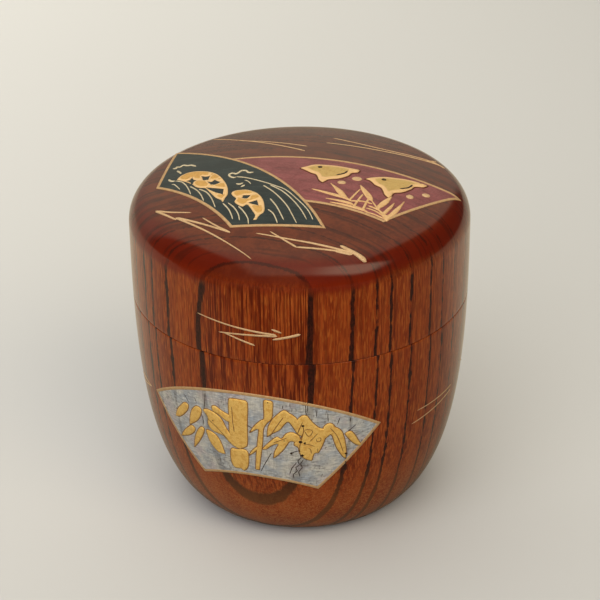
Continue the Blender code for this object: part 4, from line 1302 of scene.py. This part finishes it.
# What other rays see of the table, for the caddy's reflections and bounce light: darker to the right and
# lighter behind, with painted shade in front of the caddy that dims the front's reflections and its light
# from below.
bounce_floor_with_painted_shade = nodes.blend(
    nodes.ease(floor_x, -0.1, 0.02), (0.34, 0.31, 0.24, 1.0), (0.22, 0.2, 0.155, 1.0)
)
bounce_floor_with_painted_shade = nodes.blend(nodes.ease(floor_y, -0.12, -0.06), (0.11, 0.1, 0.08, 1.0), bounce_floor_with_painted_shade)
bounce_floor_with_painted_shade = nodes.blend(nodes.ease(floor_y, -0.02, 0.06), bounce_floor_with_painted_shade, (0.52, 0.47, 0.38, 1.0))
for_camera = nodes.get("ShaderNodeLightPath", output="Is Camera Ray")
nodes.join(shader, "Base Color", nodes.blend(for_camera, bounce_floor_with_painted_shade, seen))
floor.data.materials.append(paper)


def soft_light(name, place, size, power):
    lamp = bpy.data.lights.new(name, "AREA")
    lamp.shape = "DISK"
    lamp.size = size
    lamp.energy = power
    made = stand(name, lamp)
    made.location = place
    made.rotation_euler = (LIT_PLACE - Vector(place)).to_track_quat("-Z", "Y").to_euler()
    made.visible_glossy = False


soft_light("window_light", place=(-0.55, 0.5, 1.2), size=2.6, power=9.6)
soft_light("room_light", place=(-0.3, -1.15, 0.85), size=2.2, power=22.4)
world = bpy.data.worlds.new("room")
world.use_nodes = True
nodes = Nodes(world.node_tree)
background = world.node_tree.nodes["Background"]
direction = nodes.get("ShaderNodeTexCoord", output="Generated")
toward_right, toward_back, upward = nodes.apart(direction)
right_edge = 1 - nodes.ease(toward_right, 0.38, 0.5)
back_wall = nodes.ease(toward_back, 0.35, 0.5) * right_edge
back_wall = back_wall * (0.6 + nodes.ease(upward, 0.05, 0.45) * 0.4)
ceiling = nodes.ease(upward, 0.74, 0.84) * right_edge * nodes.ease(toward_right, -0.5, -0.38)
window = nodes.ease(toward_right, -0.55, -0.35) * (1 - nodes.ease(toward_right, 0.62, 0.8))
window = window * nodes.ease(toward_back, -0.8, -0.62) * (1 - nodes.ease(toward_back, -0.36, -0.2))
window = window * nodes.ease(upward, 0.36, 0.58)
glare = nodes.blend(
    nodes.ease(toward_right, 0.02, 0.36), (0.9, 0.8, 0.6, 1.0), (3.1, 2.65, 1.95, 1.0)
)
for_camera = nodes.get("ShaderNodeLightPath", output="Is Camera Ray")
room = nodes.blend(back_wall, (0.03, 0.029, 0.024, 1.0), (0.56, 0.53, 0.42, 1.0))
room = nodes.blend(ceiling, room, (0.74, 0.7, 0.56, 1.0))
room = nodes.blend(window, room, glare)
nodes.join(background, "Color", nodes.blend(for_camera, room, PALE))
bpy.context.scene.world = world

camera = stand("camera", bpy.data.cameras.new("camera"))
camera.data.lens = CAMERA_LENS
camera.data.sensor_width = CAMERA_SENSOR
camera.data.clip_start = 0.01
camera.location = LOOK_AT + CAMERA_AWAY * Vector((0.0, -cos(CAMERA_RISE), sin(CAMERA_RISE)))
camera.rotation_euler = (
    Matrix.Rotation(pi / 2 - CAMERA_RISE, 3, "X") @ Matrix.Rotation(CAMERA_ROLL, 3, "Z")
).to_euler()
bpy.context.scene.camera = camera
bpy.context.scene.view_settings.view_transform = "Standard"
